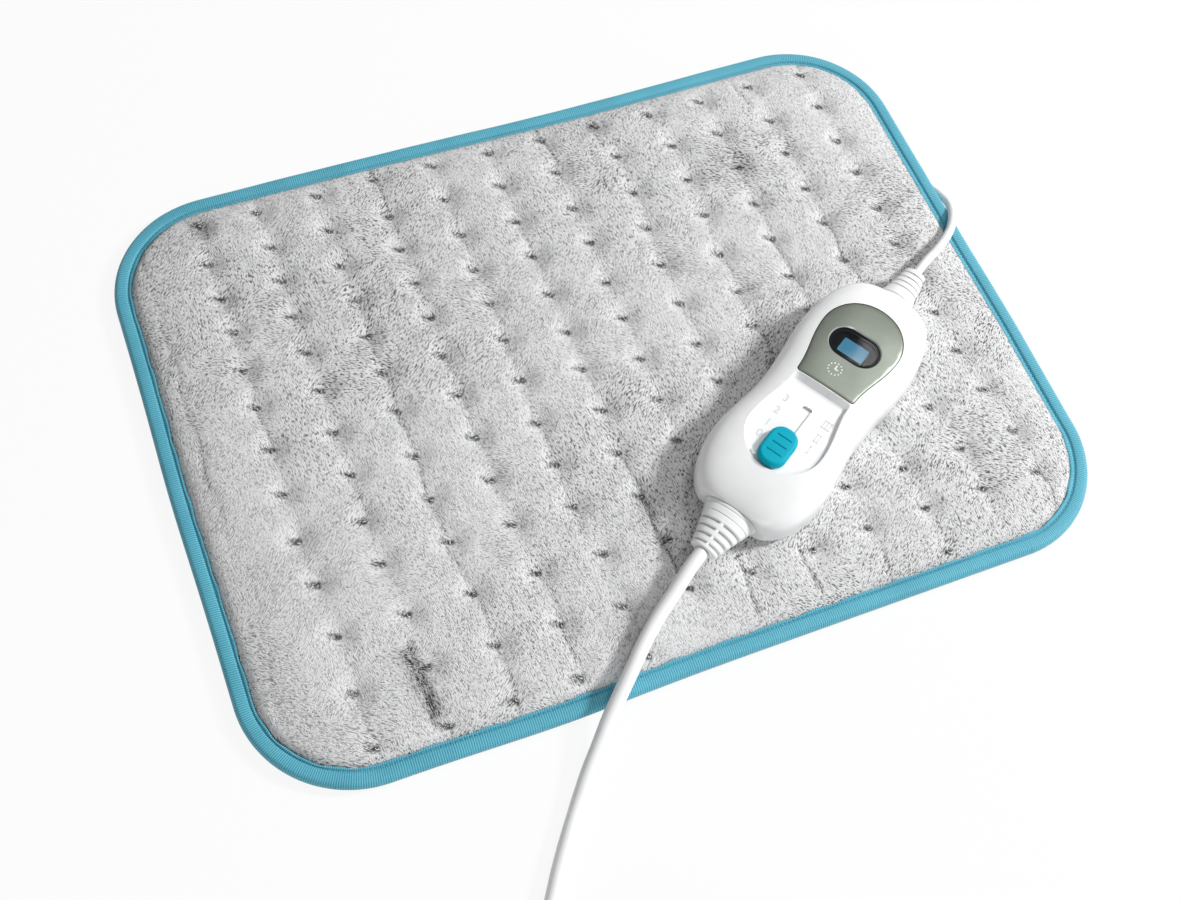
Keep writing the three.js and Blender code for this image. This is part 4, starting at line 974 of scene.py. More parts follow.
@dataclass(frozen=True)
class Tape:
    """Turquoise woven tape with fine ribs across it; its UV map runs along and across in metres."""

    light: Colour = (0.13, 0.51, 0.645)
    shade: Colour = (0.045, 0.27, 0.375)
    rib_pitch: float = 0.00102
    thread_pitch: float = 0.0006

    def build(self) -> Material:
        """Makes the material.

        Returns:
            The material.
        """
        look = Finish("tape")
        along, across = look.map_part("tape", 0), look.map_part("tape", 1)
        sway = look.noise(look.place(), 120.0) * 0.8
        ribs = (along * (2 * math.pi / self.rib_pitch) + across * 260.0 + sway).sine()
        threads = (across * (2 * math.pi / self.thread_pitch)).sine()
        height = ribs * 0.38 + threads * 0.12 + 0.5
        fuzz = look.noise(look.place(), 1800.0, 2.0)
        clouds = look.noise(look.place(), 55.0)
        # Painted shade in the valleys between the ribs and threads, with random clouds and fuzz.
        valley_shade_and_mottle = height.step(0.15, 0.75, 0.8, 0.0) + clouds.step(0.35, 0.75, 0.0, 0.16) + fuzz * 0.12
        return look.surface(
            base_color=look.blend(valley_shade_and_mottle, self.light, self.shade),
            roughness=0.62,
            sheen_weight=0.35,
            sheen_roughness=0.4,
            normal=look.relief(height + fuzz * 0.3, 0.00016, 0.8),
        )


@dataclass(frozen=True)
class Moulded:
    """A moulded plastic or rubber part with a faint uneven surface."""

    name: str
    colour: Colour
    mottle: Colour
    roughness: float
    coat: float = 0.0
    grain: float = 700.0
    grain_depth: float = 0.00002
    metal: float = 0.0
    hollow: Optional[Colour] = None
    shine: float = 0.5

    def build(self) -> Material:
        """Makes the material; the mesh may store where grooves get painted shade.

        Returns:
            The material.
        """
        look = Finish(self.name)
        clouds = look.noise(look.place(), 60.0, 3.0)
        grain = look.noise(look.place(), self.grain, 2.0)
        colour = look.blend(clouds.step(0.35, 0.7), self.colour, self.mottle)
        # Painted shade in the grooves, where the mesh stores it.
        if self.hollow:
            colour = look.blend(look.stored("hollow").step(0.2, 0.9), colour, self.hollow)
        return look.surface(
            base_color=colour,
            roughness=clouds * 0.1 + (self.roughness - 0.05),
            metallic=self.metal,
            specular_ior_level=self.shine,
            coat_weight=self.coat,
            coat_roughness=0.05,
            normal=look.relief(grain, self.grain_depth, 0.6),
        )


@dataclass(frozen=True)
class Lens:
    """The dark clear lens over the display."""

    tint: Colour = (0.012, 0.014, 0.016)
    cover: float = 0.35

    def build(self) -> Material:
        """Makes the material; faint smears change its gloss.

        Returns:
            The material.
        """
        look = Finish("lens")
        smears = look.noise(look.place(30.0, (1.0, 4.0, 1.0)), 90.0, 2.0)
        return look.surface(
            base_color=self.tint,
            roughness=smears.step(0.3, 0.8, 0.02, 0.07),
            alpha=self.cover,
            specular_ior_level=0.35,
        )


@dataclass(frozen=True)
class Screen:
    """The lit face of the display, brighter in some places than in others."""

    low: Colour = (0.05, 0.36, 0.62)
    high: Colour = (0.30, 0.62, 0.84)
    turn: float = CONTROLLER_TURN

    def build(self) -> Material:
        """Makes the material.

        Returns:
            The material.
        """
        look = Finish("screen")
        dots = look.noise(look.place(self.turn), 1500.0, 0.0)
        glow = look.noise(look.place(self.turn), 70.0, 0.0).step(0.3, 0.7)
        colour = look.blend(glow * 0.8 + dots * 0.2, self.low, self.high)
        return look.surface(base_color=colour, emission_color=colour, emission_strength=0.75, roughness=0.3)


class Look(Enum):
    """The finishes of the object, by the record's material slot where they have one."""

    PLUSH = Plush()
    PILE = Pile()
    FLEECE = Fleece()
    WADDING = Fleece("wadding", (0.80, 0.80, 0.78), (0.62, 0.62, 0.60), 500.0)
    TAPE = Tape()
    GLOSS_WHITE = Moulded("gloss_white", WHITE, OFF_WHITE, 0.2, 0.35)
    MARK = Moulded("mark", (0.64, 0.65, 0.66), (0.60, 0.61, 0.62), 0.4)
    PRINT = Moulded("print", (0.86, 0.87, 0.86), (0.80, 0.81, 0.80), 0.5)
    FASCIA = Moulded(
        "fascia", (0.22, 0.246, 0.207), (0.195, 0.218, 0.184), 0.38, 0.0, 2600.0, 0.00001, 0.4
    )
    RIM = Moulded("rim", (0.60, 0.61, 0.60), (0.52, 0.53, 0.52), 0.25, 0.2, metal=0.4)
    LENS = Lens()
    SCREEN = Screen()
    KNOB = Moulded(
        "knob", (0.0, 0.41, 0.54), (0.0, 0.38, 0.51), 0.55, 0.0, 1400.0, hollow=(0.0, 0.30, 0.41), shine=0.15
    )
    BOOT = Moulded("boot", WHITE, OFF_WHITE, 0.3, 0.15, hollow=(0.52, 0.525, 0.53))
    # The stitches are darker than the tape: the thread's colour with painted shade of the groove they lie
    # in.
    STITCH = Moulded("stitch", (0.07, 0.35, 0.46), (0.06, 0.30, 0.40), 0.7)
    FILM = Moulded("film", (0.04, 0.115, 0.43), (0.03, 0.09, 0.36), 0.3, 0.3)
    BOARD = Moulded("board", (0.025, 0.145, 0.042), (0.02, 0.11, 0.035), 0.45, 0.2)
    BLACK = Moulded("black", (0.008, 0.008, 0.009), (0.012, 0.012, 0.013), 0.55, shine=0.15)
    METAL = Moulded("metal", (0.55, 0.555, 0.57), (0.48, 0.485, 0.50), 0.3, metal=0.95)
    COPPER = Moulded("copper", (0.46, 0.17, 0.05), (0.38, 0.13, 0.04), 0.35, metal=0.9)
    CORD = Moulded("cord", WHITE, OFF_WHITE, 0.34, 0.1, 300.0, 0.00006)
    CORE = Moulded("core", (0.195, 0.085, 0.033), (0.16, 0.07, 0.028), 0.45)

    @cached_property
    def material(self) -> Material:
        """The material of the finish, which is built once."""
        return self.value.build()


# The pad

Band = tuple[float, float, float, float, float, float]
Crease = tuple[float, float, float, float, float]


@dataclass
class PadShape:
    """Sizes that the covers and the binding of the pad share."""

    length: float = 400.0
    width: float = 300.0
    corner: float = 51.0
    tape_width: float = 9.2
    tape_height: float = 6.4
    cover_inset: float = 1.6
    tuft_columns: int = 12
    tuft_rows: int = 13
    tuft_pitch_x: float = 29.0
    tuft_pitch_y: float = 22.4
    tuft_middle: Pair = (5.2, -3.0)
    tuft_margin: float = 2.5

    def inset(self, places: Points) -> Points:
        """Distance of places from the pad's edge, towards the inside."""
        return rounded_inset(self.length, self.width, self.corner, places)

    def outline(self, inset: float, corner_steps: int, straight_steps: tuple[int, int]) -> Points:
        """Points round the pad at a distance from its edge, anticlockwise.

        Args:
            inset: Distance from the edge.
            corner_steps: Steps round each corner.
            straight_steps: Steps along each short side and each long side.

        Returns:
            Points of shape (count, 2).
        """
        half = np.array([self.length / 2 - self.corner, self.width / 2 - self.corner])
        radius = self.corner - inset
        points = []
        for corner, (side_x, side_y) in enumerate([(1, -1), (1, 1), (-1, 1), (-1, -1)]):
            angles = (corner - 1 + np.arange(corner_steps + 1) / corner_steps) * math.pi / 2
            middle = half * (side_x, side_y)
            points.append(middle + radius * np.stack([np.cos(angles), np.sin(angles)], axis=1))
            count = straight_steps[corner % 2]
            next_side = [(1, 1), (-1, 1), (-1, -1), (1, -1)][corner]
            share = (np.arange(1, count) / count)[:, None]
            end = half * next_side + radius * np.array([math.cos(angles[-1]), math.sin(angles[-1])])
            points.append(points[-1][-1] * (1 - share) + end * share)
        return np.concatenate(points)

    def grid(self, inset: float, step: float) -> tuple[Points, int, int]:
        """Places of a grid that fills the pad up to an inset, and its rows and columns."""
        length, width = self.length - 2 * inset, self.width - 2 * inset
        return rounded_grid(length, width, self.corner - inset, step)

    def quilt_coordinates(self, places: Points) -> Points:
        """Column and row of places in the even grid of tufts, counted from the lower left tuft.

        Args:
            places: Places on the pad, of shape (count, 2).

        Returns:
            Column and row for each place.
        """
        pitch = np.array([self.tuft_pitch_x, self.tuft_pitch_y])
        middle = np.array([self.tuft_columns - 1, self.tuft_rows - 1]) / 2
        return (places - self.tuft_middle) / pitch + middle

    def drift(self, grid: Points) -> Points:
        """How far the soft cover has shifted from its even grid, by column and row.

        Args:
            grid: Columns and rows, of shape (count, 2).

        Returns:
            A shift in x and y for each.
        """
        column, row = grid.T
        left = (1 - smoothstep(column, 3.0, 6.2)) * smoothstep(row, -1.5, 3.2)
        left = left * (1 - smoothstep(row, 6.5, 12.0))
        right = smoothstep(column, 6.5, 8.0) * smoothstep(row, 5.0, 7.0)
        low = (1 - smoothstep(row, 1.5, 4.0)) * smoothstep(column, -2.0, 1.5)
        upper = np.exp(-(((column - 7.6) / 1.4) ** 2)) * smoothstep(row, 8.0, 10.0)
        upper = upper * (1 - smoothstep(row, 11.2, 12.0))
        corner = (1 - smoothstep(column, 4.5, 6.5)) * smoothstep(row, 3.0, 5.5)
        foot = 1 - smoothstep(row, 1.5, 3.5)
        across = 5.4 * low + 4.5 * upper + 1.4 * corner
        along = 8.8 * left - 2.2 * right - 1.6 * foot
        return np.stack([across, along], axis=1)

    def sway(self, places: Points) -> Points:
        """How far the soft edge has shifted from its straight sides, fading out towards the middle.

        Args:
            places: Places on the pad, of shape (count, 2).

        Returns:
            A shift in x and y for each place.
        """
        x, y = places.T
        top = 1.6 * np.exp(-(((x - 40.0) / 75.0) ** 2)) * smoothstep(y, 105.0, 145.0)
        low = 1.4 * np.exp(-(((x + 75.0) / 42.0) ** 2)) * smoothstep(-y, 105.0, 145.0)
        left = 0.9 * np.exp(-((y / 42.0) ** 2)) * smoothstep(-x, 155.0, 195.0)
        right = 0.8 * np.exp(-(((y + 40.0) / 42.0) ** 2)) * smoothstep(x, 155.0, 195.0)
        return np.stack([right - left, -top - low], axis=1)

    def tufts(self) -> Points:
        """Places of the sewn tufts, each a little off its row and column.

        Returns:
            Places of shape (count, 2).
        """
        chance = np.random.default_rng(SEED)
        column, row = np.meshgrid(np.arange(self.tuft_columns), np.arange(self.tuft_rows))
        grid = np.stack([column.ravel(), row.ravel()], axis=1).astype(float)
        middle = np.array([self.tuft_columns - 1, self.tuft_rows - 1]) / 2
        places = (grid - middle) * (self.tuft_pitch_x, self.tuft_pitch_y) + self.tuft_middle
        places = places + self.drift(grid) + chance.uniform(-0.9, 0.9, places.shape)
        return places[self.inset(places) > self.tape_width + self.tuft_margin]


@dataclass
class QuiltedCover:
    """The plush top of the pad, drawn down at every tuft and blown up between them."""

    shape: PadShape
    underside: float = 6.5
    tuft_height: float = 7.2
    crown_height: float = 11.0
    edge_height: float = 6.8
    crown_reach: float = 26.0
    rim_bottom: float = 3.5
    rim_top: float = 5.0
    tuft_reach: float = 10.5
    # Way, length and width of the painted shade beside each tuft.
    nap_way: Pair = (-0.93, 0.36)
    nap_length: float = 3.4
    nap_width: float = 2.0
    column_valley: float = 0.4
    seam_depth: float = 0.5
    seam_width: float = 1.3
    hem_shade: float = 0.7
    step: float = 1.6
    cloth_step: float = 3.6
    puff: float = 0.8
    # Each crease: its place across, where it starts and ends, its depth and the darkness of its painted
    # shade.
    creases: tuple[Crease, ...] = (
        (-38.5, -120.0, 4.0, 0.6, 0.45),
        (-125.0, -137.0, -98.0, 1.3, 1.0),
        (-7.0, -116.0, -58.0, 1.9, 0.9),
        (20.0, -138.0, -108.0, 0.5, 0.9),
        (49.0, -138.0, -112.0, 0.45, 0.95),
        (46.0, 114.0, 134.0, 0.7, 0.7),
        (127.0, 118.0, 138.0, 0.7, 0.7),
    )
    # Dark bands, each as two ends, a half width and a darkness: raised fibres together with painted crease
    # shade.
    smudges: tuple[Band, ...] = (
        (-154.0, 133.0, -150.0, 127.0, 5.0, 0.7),
        (-124.0, -130.0, -127.0, -104.0, 4.0, 0.85),
        (100.0, 88.0, 106.0, 86.0, 7.0, 0.35),
        (45.0, 132.0, 49.0, 132.0, 5.0, 0.45),
        (-9.0, -72.0, -9.0, -90.0, 4.0, 0.45),
        (-37.0, -115.0, -37.0, -125.0, 8.0, 0.3),
    )

    def nearest_tuft(self, places: Points) -> Points:
        """Distance from each place to its nearest tuft.

        Args:
            places: Places on the pad, of shape (count, 2).

        Returns:
            The distances.
        """
        least = np.full(len(places), 1e9)
        for tuft in self.shape.tufts():
            least = np.minimum(least, np.hypot(*(places - tuft).T))
        return least

    def nap_shade(self, places: Points) -> Points:
        """Painted shade on the slope on one side of each tuft.

        Args:
            places: Places on the pad, of shape (count, 2).

        Returns:
            A shade from 0 to 1 for each place.
        """
        shade = np.zeros(len(places))
        way = np.array(self.nap_way)
        for tuft in self.shape.tufts():
            off = places - tuft - way * self.nap_length * 0.8
            along, across = off @ way, off @ (-way[1], way[0])
            reach = (along / self.nap_length) ** 2 + (across / self.nap_width) ** 2
            shade = np.maximum(shade, np.exp(-reach))
        return shade

    def smudge_shade(self, places: Points) -> Points:
        """Darkness of the listed bands, which lie mostly along creases and in a corner: raised fibres
        together with painted crease shade.

        Args:
            places: Places on the pad, of shape (count, 2).

        Returns:
            A shade from 0 to 1 for each place.
        """
        shade = np.zeros(len(places))
        for *ends, half_width, strength in self.smudges:
            start, run = np.array(ends[:2]), np.subtract(ends[2:], ends[:2])
            share = np.clip((places - start) @ run / (run @ run), 0.0, 1.0)
            off = np.hypot(*(places - start - np.outer(share, run)).T)
            shade = np.maximum(shade, strength * np.exp(-((off / half_width) ** 2)))
        return shade

    def hem(self, places: Points) -> Points:
        """Painted shadow of the tape on the plush along it, which reaches further in on the right and at the
        top.

        Args:
            places: Places on the pad, of shape (count, 2).

        Returns:
            A shade from 0 to 1 for each place.
        """
        half = np.array([self.shape.length, self.shape.width]) / 2
        lean = np.tanh(((half + places).min(axis=1) - (half - places).min(axis=1)) / 20.0)
        return self.hem_shade * (1.0 - smoothstep(self.shape.inset(places) - 0.7 * lean, 9.0, 11.0))

    def folds(self, places: Points) -> tuple[Points, Points]:
        """Depth of the deeper folds that run between some tufts, and the painted shade in them.

        Args:
            places: Places on the pad, of shape (count, 2).

        Returns:
            A depth and a painted shade from 0 to 1 for each place.
        """
        depth, shade = np.zeros((2, len(places)))
        for x, low, high, deep, dark in self.creases:
            sway = 0.9 * np.sin(places[:, 1] * 0.16 + x)
            across = np.exp(-(((places[:, 0] - x - sway) / 1.7) ** 2))
            along = smoothstep(places[:, 1], low - 5, low + 5)
            along = along * (1 - smoothstep(places[:, 1], high - 5, high + 5))
            depth = np.maximum(depth, deep * across * along)
            shade = np.maximum(shade, dark * across**2 * along)
        return depth, shade

    def seams(self, places: Points) -> Points:
        """Strength from 0 to 1 of the fine creases down the columns of tufts, which come and go.

        Args:
            places: Places on the pad, of shape (count, 2).

        Returns:
            The strengths.
        """
        even = places - self.shape.drift(self.shape.quilt_coordinates(places))
        column = self.shape.quilt_coordinates(even)[:, 0]
        index = np.round(column)
        wander = 0.8 * np.sin(places[:, 1] * 0.17 + index * 2.0)
        off = (column - index) * self.shape.tuft_pitch_x - wander
        drawn = [noise.noise((number * 7.3, y * 0.02, 4.0)) for number, y in zip(index, places[:, 1])]
        return np.clip(0.5 + 1.2 * np.array(drawn), 0.0, 1.0) * np.exp(-((off / self.seam_width) ** 2))

    def dark_roots(self, places: Points, seam_share: float) -> Points:
        """Painted shade of everything but the bands: beside the tufts, in the folds, along the tape and in
        the seams.
        """
        shade = np.maximum(self.nap_shade(places), self.folds(places)[1])
        return np.maximum(shade, np.maximum(self.hem(places), seam_share * self.seams(places)))

    def heights(self, places: Points) -> Points:
        """Height of the quilt's top over the floor at each place.

        Args:
            places: Places on the pad, of shape (count, 2).

        Returns:
            The heights.
        """
        inset = self.shape.inset(places) - self.shape.tape_width
        rise = np.sqrt(np.clip(1.0 - (1.0 - np.clip(inset / self.crown_reach, 0.0, 1.0)) ** 2, 0.0, 1.0))
        crown = self.edge_height + (self.crown_height - self.edge_height) * rise
        from_tuft = self.nearest_tuft(places)
        drawn = (1.0 - np.clip(from_tuft / self.tuft_reach, 0.0, 1.0)) ** 1.5
        even = places - self.shape.drift(self.shape.quilt_coordinates(places))
        valley = np.abs(np.sin(math.pi * self.shape.quilt_coordinates(even)[:, 0]))
        valley = self.column_valley * (1.0 - smoothstep(valley, 0.0, 0.75)) * smoothstep(inset, 4.0, 22.0)
        top = crown - valley - self.folds(places)[0] - self.seam_depth * self.seams(places)
        return top - np.maximum(top - self.tuft_height, 0.0) * drawn

    def puffed(self) -> tuple[Points, Points]:
        """Blows a coarse cloth of the quilt up between its pinned tufts.

        Returns:
            The places of the cloth's points and how far each rose.
        """
        places, rows, columns = self.shape.grid(self.shape.tape_width, self.cloth_step)
        start = np.column_stack([places, self.heights(places)])
        cloth = new_piece("quilt_cloth", start, grid_faces(rows, columns))
        held = np.maximum(
            1.0 - smoothstep(self.nearest_tuft(places), 1.5, 6.0),
            1.0 - smoothstep(self.shape.inset(places) - self.shape.tape_width, 0.5, 8.0),
        )
        pins = cloth.vertex_groups.new(name="held")
        for index, weight in enumerate(held):
            pins.add([index], float(weight), "REPLACE")
        modifier = cloth.modifiers.new("cloth", "CLOTH")
        settings = modifier.settings
        settings.quality = 5
        settings.mass = 0.3
        settings.tension_stiffness = settings.compression_stiffness = 12.0
        settings.bending_stiffness = 0.6
        settings.vertex_group_mass = "held"
        settings.use_pressure = True
        settings.uniform_pressure_force = 3.0
        settings.effector_weights.gravity = 0.0
        modifier.collision_settings.use_collision = False
        scene = bpy.context.scene
        for number in range(1, 21):
            scene.frame_set(number)
        graph = bpy.context.evaluated_depsgraph_get()
        moved = np.zeros(len(places) * 3, np.float32)
        cloth.evaluated_get(graph).data.vertices.foreach_get("co", moved)
        scene.frame_set(1)
        rise = moved.reshape(-1, 3)[:, 2] / MM - start[:, 2]
        bpy.data.objects.remove(cloth)
        return places, np.clip(rise, -0.4, 1.2)

    def rise_at(self, places: Points) -> Points:
        """Rise of the blown cloth at each place, by the nearest cloth points.

        Args:
            places: Places on the pad, of shape (count, 2).
        """
        known, rise = self.puffed()
        tree = tree_of(known)
        result = np.zeros(len(places))
        for index, (x, y) in enumerate(places):
            near = tree.find_n((x, y, 0.0), 4)
            weights = np.array([1.0 / (distance + 0.2) for _, _, distance in near])
            result[index] = weights @ rise[[found for _, found, _ in near]] / weights.sum()
        return result

    def lumps(self, places: Points) -> Points:
        """Small unevenness of the filling."""
        return 0.32 * noise_at(places, 0.07, 3.0) + 0.22 * noise_at(places, 0.31, 9.0)

    def build(self) -> Piece:
        """Makes the closed quilt: its top, its edge under the tape and its flat underside.

        Returns:
            The quilt.
        """
        places, rows, columns = self.shape.grid(self.shape.cover_inset, self.step)
        inset = self.shape.inset(places) - self.shape.cover_inset
        tuft = 1.0 - smoothstep(self.nearest_tuft(places), 0.5, 2.6)
        inner = smoothstep(inset, 9.0, 14.0)
        swelling = self.puff * self.rise_at(places) + self.lumps(places) * (1 - tuft)
        height = self.heights(places) + swelling * inner
        clear_of_tape = smoothstep(inset, 6.6, 8.4)
        top = self.rim_top + (height - self.rim_top) * clear_of_tape
        top = np.minimum(top, self.crown_height + 0.5)
        base = np.where(inset > 12.5, self.underside, self.rim_bottom)
        swayed = places + self.shape.sway(places)
        upper, lower = np.column_stack([swayed, top]), np.column_stack([swayed, base])
        piece = new_piece("quilt_top", *two_sided(upper, lower, rows, columns), Look.PLUSH.material)
        # Painted shade of the slopes, folds, seams and tape edge, and the dark bands, stored for the
        # material.
        painted_shade, fibre_and_shade = self.dark_roots(places, 0.75), self.smudge_shade(places)
        for name, values in (("tuft", tuft), ("painted_shade", painted_shade), ("fibre_and_shade", fibre_and_shade)):
            add_attribute(piece, name, np.concatenate([values, 0 * values]))
        outward(piece)
        hand_over(piece, "plush", "top_cover")
        return piece


@dataclass
class FibrePile:
    """The short locks of fibre that stand out of the plush."""

    cover: QuiltedCover
    lock_length: float = 1.7
    lock_width: float = 0.24
    lock_step: float = 1.43
    dark_share: float = 0.28
    tuft_locks: int = 16
    tuft_spread: float = 1.1
    lean: float = 66.0
    bare_reach: Pair = (92.0, 34.0)

    def seeds(self, top: Piece) -> Piece:
        """A mesh of single points on the plush, each with its lock's turn, size and tone.

        Args:
            top: The quilt that the locks stand on.

        Returns:
            The mesh of points.
        """
        chance = np.random.default_rng(SEED + 1)
        shape = self.cover.shape
        x = np.arange(-shape.length / 2, shape.length / 2, self.lock_step)
        y = np.arange(-shape.width / 2, shape.width / 2, self.lock_step)
        places = np.stack([part.ravel() for part in np.meshgrid(x, y)], axis=1)
        places += chance.uniform(-0.5, 0.5, places.shape) * self.lock_step
        places = places[shape.inset(places) > shape.tape_width + 0.6]
        off = turned(places - CONTROLLER_PLACE[:2], -CONTROLLER_TURN)
        under_controller = ((np.abs(off) / self.bare_reach) ** 3).sum(axis=1) < 1.0
        places = places[~under_controller]
        tree = BVHTree.FromObject(top, bpy.context.evaluated_depsgraph_get())
        points, turns, sizes, tones = [], [], [], []
        tuft = self.cover.nearest_tuft(places)
        # The painted shade of the cover and its dark bands darken the locks that stand there.
        shade = np.maximum(self.cover.dark_roots(places, 0.85), self.cover.smudge_shade(places))
        for (px, py), distance, dark in zip(places + shape.sway(places), tuft, shade):
            wide = noise.noise((px * 0.022, py * 0.022, 1.0))
            flow = 2.6 * wide + 0.8 * noise.noise((px * 0.11, py * 0.11, 5.0))
            points.append((px, py, self.level(tree, px, py) - 0.12))
            turns.append(2.3 + flow * 1.4 + chance.normal(0.0, 0.45))
            sizes.append(chance.uniform(0.6, 1.15) * (0.55 + 0.45 * min(1.0, distance / 5.0)))
            span = (0.0, 0.2) if chance.random() < self.dark_share else (0.45, 1.0)
            tone = chance.uniform(*span)
            tones.append(tone * (1.0 - 0.95 * dark))
        # Dark locks on one side of each tuft, which carry the painted shade beside it.
        way = np.array(self.cover.nap_way)
        for place in shape.tufts():
            for _ in range(self.tuft_locks):
                px, py = place + 0.7 * way + chance.normal(0.0, self.tuft_spread, 2) * (1.0, 0.55)
                points.append((px, py, self.level(tree, px, py)))
                turns.append(math.atan2(way[1], way[0]) + chance.normal(0.0, 0.5))
                sizes.append(chance.uniform(0.7, 1.3))
                tones.append(chance.uniform(0.0, 0.12))
        seeds = new_piece("pile_seeds", np.array(points), [])
        for name, values in (("turn", turns), ("size", sizes), ("tone", tones)):
            add_attribute(seeds, name, np.array(values))
        return seeds

    @staticmethod
    def level(tree: BVHTree, x: float, y: float) -> float:
        """Height of the plush over the floor at a place, in millimetres."""
        return tree.ray_cast((x * MM, y * MM, 0.03), (0.0, 0.0, -1.0))[0].z / MM

    def build(self, top: Piece) -> None:
        """Grows the locks with a Geometry Nodes tree.

        Args:
            top: The quilt that the locks stand on.
        """
        seeds = self.seeds(top)
        tree = Growth(
            "fibre_pile",
            length=self.lock_length * MM,
            radius=self.lock_width / 2 * MM,
            lean=math.radians(self.lean),
        )
        sizes = {"Radius Bottom": tree.size("radius"), "Depth": tree.size("length")}
        lock = tree.node(
            "MeshCone", {"fill_type": "NGON"}, {"Vertices": 3, "Radius Top": 0.0, **sizes}
        )
        facing = tree.vector(Y=tree.size("lean"), Z=tree.stored("turn"))
        shape, scale = lock.outputs["Mesh"], tree.stored("size")
        look = Look.PILE.material
        piece = tree.plant("plush_pile", shape, seeds, look, Rotation=facing, Scale=scale)
        piece.data.shade_smooth()
        hand_over(piece, "plush")


@dataclass
class TuftKnots:
    """The small loops of thread that hold the quilt down at each tuft."""

    cover: QuiltedCover
    loop_radius: float = 0.62
    thread_radius: float = 0.2
    lift: float = 0.25
    tilt: float = 0.6

    def build(self) -> None:
        """Sets one loop of thread on each tuft with a Geometry Nodes tree."""
        chance = np.random.default_rng(SEED + 2)
        places = self.cover.shape.tufts()
        points = np.column_stack([places, self.cover.heights(places) + self.lift])
        seeds = new_piece("knot_seeds", points, [])
        add_attribute(seeds, "turn", chance.uniform(0.0, math.pi, len(points)))
        add_attribute(seeds, "size", chance.uniform(0.7, 1.25, len(points)))
        tree = Growth("tuft_knots", loop=self.loop_radius * MM, thread=self.thread_radius * MM)
        circles = []
        for steps, size in ((14, "loop"), (6, "thread")):
            inputs = {"Resolution": steps, "Radius": tree.size(size)}
            circle = tree.node("CurvePrimitiveCircle", {"mode": "RADIUS"}, inputs)
            circles.append(circle.outputs["Curve"])
        loop = tree.node("CurveToMesh", inputs=dict(zip(("Curve", "Profile Curve"), circles)))
        facing = tree.vector(X=self.tilt, Z=tree.stored("turn"))
        shape, scale = loop.outputs[0], tree.stored("size")
        look = Look.PRINT.material
        piece = tree.plant("tuft_knots", shape, seeds, look, Rotation=facing, Scale=scale)
        piece.data.shade_smooth()
        outward(piece)
        hand_over(piece, "plush")


@dataclass
class BottomCover:
    """The plain fleece underside of the pad."""

    shape: PadShape
    thickness: float = 1.6
    top: float = 3.0
    step: float = 4.0
    rim: float = 13.0
    lip: float = 8.0
    rim_bottom: float = 1.5

    def build(self) -> None:
        """Makes the closed sheet, level on the floor and raised at its edge under the tape."""
        places, rows, columns = self.shape.grid(self.shape.cover_inset, self.step)
        inset = self.shape.inset(places) - self.shape.cover_inset
        raised = 1.0 - smoothstep(inset, self.lip, self.rim)
        low = np.where(inset > self.lip, 0.0, self.rim_bottom) * raised
        ripple = np.maximum(0.25 * noise_at(places, 0.04, 6.0), 0.0)
        low = low + ripple * (1.0 - raised)
        high = self.thickness + (self.top - self.thickness) * raised
        places = places + self.shape.sway(places)
        upper, lower = np.column_stack([places, high]), np.column_stack([places, low])
        piece = new_piece("underside", *two_sided(upper, lower, rows, columns), Look.FLEECE.material)
        outward(piece)
        hand_over(piece, "fleece", "bottom_cover")


